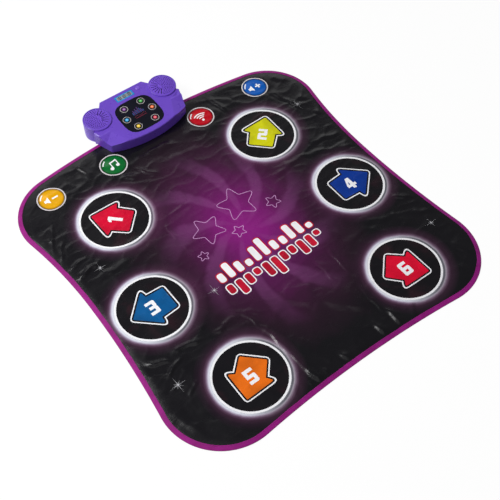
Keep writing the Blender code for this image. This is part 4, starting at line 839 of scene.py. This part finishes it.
def spiked(reach, start=0.0):
    """A loop whose points lie at the given distances, at even angles round the origin."""
    angle = start + 2 * np.pi * np.arange(len(reach)) / len(reach)
    return np.stack([reach * np.cos(angle), reach * np.sin(angle)], -1)


def sparkle_loop(x, y, arm):
    reach = np.tile([1, 0.04, 0.5, 0.04], 4) * arm
    return spiked(reach) + (x, y)


def arrow_shapes(number):
    """The arrow, its white line and its number, as (loop, material number)."""
    way = ARROW_TURN[number]
    place = turned([(ARROW_SHIFT[number] * MM, 0)], way, FIELDS[number])[0]
    fill = rounded(ARROW, 3.5, 1.5)
    gap = rounded(grown(ARROW, ARROW_GAP), 8, 0.8, 6, 0.7)
    line = rounded(grown(ARROW, ARROW_GAP + ARROW_LINE), 12.5, 0.6, 8, 0.8)
    shapes = [(turned(loop * MM, way, place), kind) for loop, kind in ((line, 1), (gap, 0), (fill, 2))]
    for i, loop in enumerate(DIGITS[number]):
        centred = (rounded(loop, 0.7, steps=2) - DIGIT_CENTRE) * MM
        shapes.append((turned(centred, NUMBER_TURN.get(number, 0), FIELDS[number]), 2 if i else 1))
    return shapes


def icon_loops(name):
    """A plain white sign for a small field, in millimetres."""
    if name == "volume_down":
        return [rounded(SPEAKER_ICON, 1.2), rounded(box_loop(2, -2.4, 19, 2.4), 1)]
    if name == "volume_up":
        return [rounded(SPEAKER_ICON, 1.2), rounded(PLUS_ICON, 0.8)]
    if name == "mode":
        heads = [circle(centre, 5.2, 20) for centre in ((-9.5, -10), (9.5, -6.5))]
        return heads + [np.array(NOTE_ICON, float)]
    middle = (0, -13)
    return [circle(middle, 3.8, 20)] + [sector(middle, r, r + 3.8, 48, 132) for r in (8.5, 16, 23.5)]


def centre_shapes():
    """A generic print for the middle: outlined stars over a mirrored band of level bars."""
    shapes = []
    for x, y, size, lean in STARS:
        star = spiked(np.tile([size, 0.46 * size], 5), np.pi / 2)
        star = rounded(star, 0.16 * size, 0.10 * size, 6)
        for loop, kind in ((grown(star, 0.75), 2), (grown(star, -0.75), 0)):
            shapes.append((turned(loop * MM, lean, (x * MM, y * MM)), kind))
    for i in range(-5, 6):
        x = 27 * i + 3
        tall = 66 * (0.72 + 0.28 * math.cos(i * 1.7 + 0.5)) * (1 - 0.05 * abs(i))
        for low, high, rim, body in ((-50, -50 + tall, 3, 1), (-57 - 0.95 * tall, -57, 1, 3)):
            outer = rounded(box_loop(x - 11.5, low, x + 11.5, high), 9.5)
            inner = rounded(box_loop(x - 8.6, low + 2.9, x + 8.6, high - 2.9), 7)
            shapes += [(outer * MM, rim), (inner * MM, body)]
    return shapes


# The mat


def level(height):
    """A height function that is the same everywhere."""
    return lambda x, y: np.full(len(x), height)


def span_and_area(loop):
    """Width and length of a loop's box, and the area inside the loop."""
    x, y = loop.T
    area = 0.5 * abs(np.sum(x * np.roll(y, -1) - y * np.roll(x, -1)))
    width, length = np.ptp(loop, axis=0)
    return (float(width), float(length)), float(area)


def build_sheet(outline):
    edge = grown(outline, -SHEET_INSET)
    holes = [circle(centre, FIELD_RADIUS, 120) for centre in FIELDS.values()]
    holes += [circle(centre, SMALL_RADIUS, 60) for centre in SMALL_FIELDS.values()]
    holes += [circle(place, SCREW_HOLE_RADIUS, 12) for place in SCREW_HOLES]
    holes.append(box_loop(*TAIL_SLOT))
    slope = np.linspace(EDGE_RISE_START, EDGE_RISE_END, 5)
    shapes = [(grown(outline, -inset), 0) for inset in slope]
    shapes += centre_shapes() + [(sparkle_loop(*spark) * MM, 4) for spark in SPARKLES]
    mesh = slab_mesh(
        "printed_sheet", edge, holes, shapes, 3.8 * MM, sheet_height(outline), SHEET_THICK
    )
    materials = [
        sheet_vinyl("sheet_vinyl"),
        ink("ink_white", (0.93, 0.92, 0.95), 0.03),
        ink("ink_violet", (0.62, 0.32, 0.62), 0.08),
        ink("ink_red", (0.52, 0.006, 0.030), 0.20),
        ink("ink_spark", (0.72, 0.72, 0.76), 0.04),
    ]
    piece = add_piece(mesh, materials, ["top_sheet"])
    span, area = span_and_area(edge)
    area -= math.pi * (len(FIELDS) * FIELD_RADIUS**2 + len(SMALL_FIELDS) * SMALL_RADIUS**2)


def paint_ring(mesh, centre, inner, number):
    """Gives the upper faces outside a radius another material."""
    for polygon in mesh.polygons:
        x, y = polygon.center.x - centre[0], polygon.center.y - centre[1]
        if math.hypot(x, y) > inner and polygon.normal.z > 0.5:
            polygon.material_index = number


def add_field(mesh, materials, node, body):
    piece = add_piece(mesh, materials, [node], body)


def build_fields():
    colours = {
        1: (0.63, 0.001, 0.030),
        2: (0.61, 0.60, 0.001),
        3: (0.001, 0.092, 0.280),
        4: (0.001, 0.036, 0.29),
        5: (0.78, 0.150, 0.006),
        6: (0.74, 0.001, 0.030),
    }
    black = dark_vinyl("field_black")
    white = ink("field_white", (0.94, 0.94, 0.97), 0.02)
    for number, centre in FIELDS.items():
        outer = circle(centre, FIELD_RADIUS - SEAM, 120)
        shapes = [(circle(centre, RING_INNER, 120), 0)] + arrow_shapes(number)
        mesh = slab_mesh(f"field_{number}", outer, [], shapes, 3.2 * MM, field_height, PAD_DEPTH)
        paint_ring(mesh, centre, RING_INNER, 1)
        materials = [black, white, ink(f"ink_arrow_{number}", colours[number], 0.12)]
        node, body = f"arrow_pad_{number}", f"pad_{number}"
        add_field(mesh, materials, node, body)


def build_small_fields():
    looks = {
        "volume_down": ("yellow", (0.76, 0.37, 0.001)),
        "mode": ("green", (0.001, 0.135, 0.024)),
        "wireless_link": ("red", (0.49, 0.002, 0.012)),
        "volume_up": ("blue", (0.001, 0.10, 0.46)),
    }
    black = dark_vinyl("small_field_black")
    white = ink("small_field_white", (0.94, 0.94, 0.96), 0.02)
    rim = ink("small_field_rim", (0.66, 0.62, 0.64), 0.05)
    for name, centre in SMALL_FIELDS.items():
        word, colour = looks[name]
        outer = circle(centre, SMALL_RADIUS - SEAM, 72)
        shapes = [(circle(centre, SMALL_RIM_INNER, 72), 0), (circle(centre, SMALL_DISC_RADIUS, 72), 3)]
        shapes.append((sector((0, 0), 26.2, 29.4, 118, 158) * MM + centre, 1))
        shapes += [(loop * MM + centre, 1) for loop in icon_loops(name)]
        mesh = slab_mesh(f"{name}_field", outer, [], shapes, 3 * MM, field_height, PAD_DEPTH)
        paint_ring(mesh, centre, SMALL_RIM_INNER, 2)
        materials = [black, white, rim, disc_ink(f"ink_{name}", colour, centre)]
        add_field(mesh, materials, f"{name}_pad", name)


def quads(rings, around, joined):
    """Faces between closed rings of points; joined also runs from the last ring to the first."""
    faces = []
    for i in range(rings if joined else rings - 1):
        j = (i + 1) % rings
        for k in range(around):
            m = (k + 1) % around
            faces.append((i * around + k, i * around + m, j * around + m, j * around + k))
    return faces


def tube_mesh(name, rings):
    return make_mesh(name, rings, quads(len(rings), len(rings[0]), True), 60)


# Section of the folded ribbon: distance in from the mat's edge and height, in millimetres
BINDING_SECTION = (
    (11.5, 0), (7, 0), (2.4, 0), (0.9, 0.15), (0.15, 0.6), (0, 1.2), (0.15, 1.8), (0.7, 2.3),
    (2.2, 2.85), (5, 3.55), (7.8, 4.2), (9.3, 4.35), (10.3, 4.85), (11.3, 5.05), (11.8, 4.9),
    (11.6, 4.5), (9, 3.4), (2, 1.9), (1.4, 1.5), (2, 1.1), (11.5, 1),
)


def build_binding(outline):
    after = np.roll(outline, -1, axis=0) - outline
    along = unit(outline - np.roll(outline, 1, axis=0) + after)
    inward = np.stack([-along[:, 1], along[:, 0]], -1)
    x, y = outline[:, 0] / MM, outline[:, 1] / MM
    pucker = gradient_noise(x / 9, y / 9, 51)
    sway = gradient_noise(x / 40, y / 40, 52)
    free = 1 - case_cover(outline[:, 0], outline[:, 1])
    rings = []
    for depth, height in BINDING_SECTION:
        reach = np.full(len(x), float(depth))
        lift = np.full(len(x), float(height))
        if height > 2.1:
            lift += (0.16 * pucker + 0.10 * sway) * free
            if depth > 7:
                reach += 0.35 * pucker + 0.5 * sway
        rings.append(np.column_stack([outline + inward * reach[:, None] * MM, lift * MM]))
    mesh = tube_mesh("edge_ribbon", np.stack(rings, 1))
    piece = add_piece(mesh, [ribbon("binding_ribbon")], ["edge_binding"])
    build_stitches(outline, inward, along)


def build_stitches(outline, inward, along):
    """A line of short thread stitches along the ribbon's inner edge."""
    rings, around = 5, 6
    t = np.linspace(1, -1, rings)[:, None, None]
    angle = (2 * np.pi * np.arange(around) / around)[:, None]
    size = 0.34 * MM * np.sqrt(1 - 0.86 * t * t)
    arch = (0.30 - 0.28 * t * t) * MM
    inward, along = inward[:, None, None], along[:, None, None]
    middle = outline[:, None, None] + inward * STITCH_INSET + along * 1.35 * MM * t
    flat = middle + inward * size * np.cos(angle)
    height = np.broadcast_to(STITCH_HEIGHT + arch + size * np.sin(angle), (*flat.shape[:3], 1))
    points = np.concatenate([flat, height], -1)
    count = rings * around
    one = quads(rings, around, False)
    one += [tuple(range(around))[::-1], tuple(range(count - around, count))]
    starts = range(0, count * len(outline), count)
    faces = [tuple(start + i for i in face) for start in starts for face in one]
    thread = plastic("thread", (0.30, 0.02, 0.24), 0.6, 2500, 0.05)
    add_piece(make_mesh("ribbon_stitches", points, faces), [thread])


def build_base(outline):
    edge = grown(outline, -BASE_INSET)
    holes = [circle(place, SCREW_HEAD_RADIUS, 16) for place in SCREW_HOLES]
    mesh = slab_mesh("base_cloth", edge, holes, [], 20 * MM, level(BASE_THICK), BASE_THICK)
    material = cloth("base_cloth", (0.026, 0.026, 0.030), 5 * MM)
    piece = add_piece(mesh, [material], ["base_sheet"])


# The controller

FACE = Matrix.Translation((0, CASE_Y, FACE_HEIGHT)) @ Matrix.Rotation(CASE_TILT, 4, "X")
SIDES = ((-1, "left"), (1, "right"))


def add_to_face(mesh, materials, replaced=()):
    """Adds a mesh that was drawn on a flat plane to the controller's tilted face."""
    mesh.transform(FACE)
    mesh.update()
    add_piece(mesh, materials, replaced)


def capsule(start, stop, width, steps=6):
    """A slot with round ends, anticlockwise."""
    start, stop = np.array(start, float), np.array(stop, float)
    angle = math.atan2(stop[1] - start[1], stop[0] - start[0])
    far = angle - math.pi / 2 + np.pi * np.arange(steps + 1) / steps
    bow = width / 2 * np.stack([np.cos(far), np.sin(far)], -1)
    return np.concatenate([stop + bow, start - bow])


def build_grilles():
    material = plastic("grille_purple", (0.160, 0.067, 0.590), 0.36, 1400, 0.03)
    for side, word in SIDES:
        centre = (side * DRUM_X, DRUM_Y)
        inward = 0 if side < 0 else 180
        holes = []
        for ring in range(7):
            radius = (2.6 + 4.7 * ring) * MM
            count = round(2 * math.pi * radius / (5.6 * MM))
            for i in range(count):
                angle = 360 * (i + 0.5 * (ring % 2)) / count
                away = abs((angle - inward + 180) % 360 - 180)
                if away >= 62 or radius <= 7 * MM:
                    holes.append(circle(turned([(radius, 0)], angle, centre)[0], 1.45 * MM, 10))
        for i in range(7):
            slot = capsule((12.5 * MM, 0), (31 * MM, 0), 2 * MM, 4)
            holes.append(turned(slot, inward + 104 * (i / 6 - 0.5), centre))

        def dome(x, y, centre=centre):
            away = np.hypot(x - centre[0], y - centre[1]) / GRILLE_RADIUS
            return DRUM_RISE + 0.9 * MM * (1 - away**2) - 0.7 * MM * ease((away - 0.93) / 0.07)

        outer = circle(centre, GRILLE_RADIUS, 96)
        mesh = slab_mesh(f"grille_{word}", outer, holes, [], 3.4 * MM, dome, 1.6 * MM)
        add_to_face(mesh, [material], [f"speaker_grille_{word}"])


LENS_TINTS = {
    "purple": (0.22, 0.05, 0.30),
    "green": (0.05, 0.42, 0.06),
    "blue": (0.02, 0.36, 0.72),
    "orange": (0.90, 0.17, 0.03),
    "yellow": (0.85, 0.58, 0.03),
    "red": (0.72, 0.06, 0.10),
}


def lens_middle(name):
    low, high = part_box(f"light_lens_{name}")
    return (Vector(low) + Vector(high)) / 2


def superellipse(centre, half_x, half_y, power, steps):
    angle = 2 * np.pi * np.arange(steps) / steps
    points = np.stack([np.cos(angle), np.sin(angle)], -1)
    return np.sign(points) * np.abs(points) ** (2 / power) * (half_x, half_y) + centre


def build_panel():
    outer = superellipse((0, -25 * MM), 58.7 * MM, 55.2 * MM, 3.6, 144)
    holes = []
    shapes = []
    for name in LENS_TINTS:
        centre = (FACE.inverted() @ lens_middle(name)).xy
        holes.append(circle(centre, 7.25 * MM, 40))
        shapes += [(circle(centre, 11.2 * MM, 48), 1), (circle(centre, 9.7 * MM, 48), 0)]
    for i, tall in enumerate((9, 15, 11, 19, 13, 22, 16, 12, 7)):
        x = (i - 4) * 3.9
        bar = rounded(box_loop(x - 1.25, -23, x + 1.25, -23 + tall), 0.8, steps=2)
        shapes.append((bar * MM, 2 if i % 2 else 3))
    for i in range(9):
        dot = ((i - 4) * 4.1 * MM, (-29.5 + 1.8 * math.sin(i * 1.1)) * MM)
        shapes.append((circle(dot, 1.15 * MM, 12), 4))
    shapes.append((capsule((-17 * MM, -35 * MM), (17 * MM, -35 * MM), 1.3 * MM), 4))
    mesh = slab_mesh("panel_face", outer, holes, shapes, 4.5 * MM, level(PANEL_TOP), PANEL_THICK)
    materials = [plastic("panel_black", (0.0050, 0.0058, 0.0125), 0.16, 300, 0.01, 0.15, 0.24)]
    for name, colour in (
        ("line", (0.50, 0.46, 0.46)),
        ("violet", (0.085, 0.030, 0.16)),
        ("blue", (0.030, 0.070, 0.24)),
        ("red", (0.22, 0.012, 0.040)),
    ):
        materials.append(plastic(f"panel_{name}", colour, 0.3, 300, 0.01))
    add_to_face(mesh, materials, ["control_panel"])


def digit_loops(centre, width, height, stroke):
    """The seven segments of one display digit, leaning a little to the right."""
    w, h, s = width / 2, height / 2, stroke / 2
    gap = 0.15 * s
    loops = [box_loop(-w + s + gap, y - s, w - s - gap, y + s) for y in (h, 0, -h)]
    for x in (-w, w):
        loops.append(box_loop(x - s, gap + s, x + s, h - s))
        loops.append(box_loop(x - s, -h + s, x + s, -gap - s))
    for i, loop in enumerate(loops):
        loop = rounded(loop, 0.4 * s, steps=2)
        loop[:, 0] += 0.10 * loop[:, 1]
        loops[i] = loop + centre
    return loops


def build_display():
    outer = rounded(box_loop(-27.8, 40.2, 27.8, 59.8), 0.8)
    shapes = [(rounded(box_loop(-23.6, 43.4, 23.6, 56.8), 0.6) * MM, 1)]
    for x in (-14.8, 0, 14.8):
        shapes += [(loop * MM, 2) for loop in digit_loops((x, 50), 8.4, 9.4, 2.3)]
    thick = DISPLAY_TOP - DISPLAY_LOW
    mesh = slab_mesh("display_window", outer * MM, [], shapes, 3.5 * MM, level(DISPLAY_TOP), thick)
    materials = [
        plastic("display_frame", (0.005, 0.28, 0.68), 0.22, 300, 0.01, 0.12),
        plastic("display_glass", (0.26, 0.30, 0.33), 0.18, 300, 0.01, 0.15),
        plastic("display_digits", (0.008, 0.014, 0.024), 0.2, 300, 0.01),
    ]
    add_to_face(mesh, materials, ["display_lens"])


# Section of the lip behind a corner facet: place along it and height, in millimetres
FACET_LIP = ((2.8, -0.05), (1.4, 0.40), (0, 0.80), (-1.5, 0.62), (-3, -0.15))


def build_facet_blends(material):
    """The raised lip behind each corner facet and the soft slope that runs down from it."""
    back, front = Vector(FACET_BACK), Vector(FACET_FRONT)
    crease = (front - back).normalized()
    outward = Vector((-crease.y, crease.x))

    def sunk(x, y):
        fall = math.tan(FACET_SLOPE) * (Vector((x * MM, y * MM)) - back).dot(outward)
        return x, y, -fall / MM - 0.05

    inner = [(98, -32 + run, 0.3 * rise - 0.03) for run, rise in FACET_LIP]
    outer = [(132.9, -32.1 + run, rise) for run, rise in FACET_LIP]
    points = inner + outer + [sunk(125.5, -56), sunk(133, -32.1)]
    count = len(FACET_LIP)
    tip, low = 2 * count, 2 * count + 1
    faces = [(i, i + 1, count + i + 1, count + i) for i in range(count - 1)]
    faces += [(count - 1, tip, tip - 1), (*range(count, tip), tip, low)]
    faces += [(count - 1, low, tip), (0, count, low), (0, low, *range(count - 1, 0, -1))]
    for side, word in SIDES:
        placed = [(side * x * MM, y * MM, z * MM) for x, y, z in points]
        ways = [face[::side] for face in faces]
        mesh = make_mesh(f"facet_blend_{word}", placed, ways, 35)
        add_to_face(mesh, [material])


# Section of the crowned rim of a drum: radius and height over the face, in millimetres
DRUM_CROWN = (
    (36.1, 0.1), (36.3, 0.62), (36.8, 0.68), (37.4, 0.55), (38.1, 0.36), (38.8, 0.14), (39.15, -0.25),
)


def build_drums(material):
    """The crowned rim round each speaker grille and the smooth round walls under it."""
    for side, word in SIDES:

        def on_drum(radius, height, side=side):
            points = circle((side * DRUM_X, DRUM_Y), radius * MM, 96)
            return [FACE @ Vector((x, y, DRUM_RISE + height * MM)) for x, y in points]

        def on_wall(radius, shoulder, side=side):
            x, y = circle((side * DRUM_X, DRUM_Y), radius * MM, 96).T
            high = FACE_HEIGHT + y * math.tan(CASE_TILT) + DRUM_RISE - 1 * MM
            return np.column_stack([x, y + CASE_Y, np.where(shoulder, high, PARTING_HEIGHT)])

        rings = [on_drum(*point) for point in DRUM_CROWN]
        rings += [on_wall(39.3, True), on_wall(39.3, False), on_wall(38.4, False)]
        rings.append(on_drum(36.1, -1.8))
        add_piece(tube_mesh(f"drum_rim_{word}", rings[::-1]), [material])


def round_edges(name):
    """Softens the sharp edges of one of the part's own pieces."""
    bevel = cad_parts[name].modifiers.new("soft_edges", "BEVEL")
    bevel.width = 0.8 * MM
    bevel.segments = 2
    bevel.limit_method = "ANGLE"
    bevel.angle_limit = math.radians(40)
    bevel.use_clamp_overlap = True
    bevel.harden_normals = False


def sides(name):
    return [f"{name}_left", f"{name}_right"]


def paint_nodes(shell):
    """Materials for the pieces that keep the part's own mesh."""
    # The power button is moulded in the shell's purple; this lighter copy of that colour is a painted
    # highlight on the button
    button = plastic("button_purple_painted_highlight", (0.200, 0.096, 0.640), 0.24, 1100, 0.02, 0.04, 0.5)
    steel = metal("steel", (0.55, 0.55, 0.57), 0.25)
    basket = metal("speaker_basket", (0.30, 0.30, 0.31), 0.35)
    looks = {
        shell: ["upper_shell", "lower_shell", "battery_door"],
        button: ["power_button"],
        steel: sides("battery_contact"),
        basket: sides("speaker_basket"),
    }
    looks[steel] += [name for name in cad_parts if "_screw_" in name]
    cells = [f"aa_cell_{i}" for i in (1, 2, 3)]
    for name, colour, finish, *nodes in (
        ("black_plastic", (0.020, 0.020, 0.022), (0.5,), "tail_clamp_bar"),
        ("circuit_board", (0.015, 0.15, 0.055), (0.35, 700, 0.05, 0.2), "main_board"),
        ("cell_jacket", (0.03, 0.09, 0.30), (0.3, 300, 0.02, 0.2), *cells),
        ("speaker_cone", (0.018, 0.017, 0.018), (0.8, 600, 0.12), *sides("speaker_cone")),
        ("rubber", (0.012, 0.012, 0.012), (0.85, 900, 0.1), *sides("rear_foot")),
        ("contact_film", (0.55, 0.55, 0.50), (0.3, 500, 0.03), "lower_contact_film"),
        ("foam", (0.12, 0.12, 0.13), (0.9, 500, 0.5), "foam_spacer"),
        ("display_module", (0.22, 0.30, 0.28), (0.3, 400, 0.02), "display_module"),
    ):
        looks[plastic(name, colour, *finish)] = nodes
    for name, tint in LENS_TINTS.items():
        looks[lamp_lens(f"lens_{name}", tint, lens_middle(name))] = [f"light_lens_{name}"]
    for material, names in looks.items():
        for name in names:
            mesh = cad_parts[name].data
            mesh.materials.clear()
            mesh.materials.append(material)


# Camera, lights and floor


def build_camera():
    flat = math.cos(CAMERA_RISE)
    direction = Vector(
        (math.sin(CAMERA_TURN) * flat, -math.cos(CAMERA_TURN) * flat, math.sin(CAMERA_RISE))
    )
    data = bpy.data.cameras.new("camera")
    data.lens = CAMERA_LENS
    data.sensor_width = SENSOR_WIDTH
    data.clip_start = 0.05
    camera = link("camera", data)
    place = Matrix.Translation(CAMERA_TARGET + CAMERA_DISTANCE * direction)
    camera.matrix_world = place @ direction.to_track_quat("Z", "Y").to_matrix().to_4x4()
    bpy.context.scene.camera = camera


def build_lights():
    """Four soft lamps, and a world that lights the object but looks white to the camera."""
    for name, place, size, power in (
        ("key", (-1.5, 1.1, 2.2), 1.1, 60),
        ("fill", (-0.7, -0.9, 2.3), 1.8, 8),
        ("sheen", (2.9, 3.7, 2.1), 2.0, 14),
        ("back", (0.4, 3.2, 1.8), 1.2, 8),
    ):
        data = bpy.data.lights.new(name, "AREA")
        data.size = size
        data.energy = power
        light = link(name, data)
        light.location = place
        light.rotation_euler = (-Vector(place)).to_track_quat("-Z", "Y").to_euler()
    world = bpy.data.worlds.new("studio")
    nodes = Nodes(world)
    colour, strength, *_ = nodes.tree.nodes["Background"].inputs
    nodes.feed((1, 1, 1), colour)
    white = nodes.times(nodes.seen_by("Camera", "Transmission"), 1 - WORLD_LIGHT)
    nodes.feed(nodes.plus(white, WORLD_LIGHT), strength)
    bpy.context.scene.world = world


def build_floor():
    """A pale floor that looks white to the camera and keeps a soft shadow."""
    material = bpy.data.materials.new("studio_floor")
    nodes = Nodes(material)
    nodes.tree.nodes.clear()
    paint = nodes.node("BsdfDiffuse", ((0.80, 0.80, 0.80),)).outputs[0]
    white = nodes.node("Emission", ((1, 1, 1), 1.03)).outputs[0]
    share = nodes.times(nodes.seen_by("Camera", "Glossy", "Transmission"), FLOOR_WHITE_SHARE)
    blend = nodes.node("MixShader", (share, paint, white)).outputs[0]
    nodes.node("OutputMaterial", (blend,))
    mesh = bpy.data.meshes.new("studio_floor")
    mesh.from_pydata([(-9, -9, 0), (9, -9, 0), (9, 9, 0), (-9, 9, 0)], [], [(0, 1, 2, 3)])
    mesh.materials.append(material)
    floor = link("studio_floor", mesh)
    floor.location.z = -FLOOR_DROP


outline = mat_outline()
build_sheet(outline)
build_fields()
build_small_fields()
build_binding(outline)
build_base(outline)
build_grilles()
build_panel()
build_display()
shell_plastic = plastic("shell_purple", (0.146, 0.061, 0.540), 0.29, 1100, 0.03, 0.04, 0.48)
build_facet_blends(shell_plastic)
build_drums(shell_plastic)
paint_nodes(shell_plastic)
round_edges("upper_shell")
round_edges("lower_shell")
build_camera()
build_lights()
build_floor()
bpy.context.scene.view_settings.view_transform = "Standard"
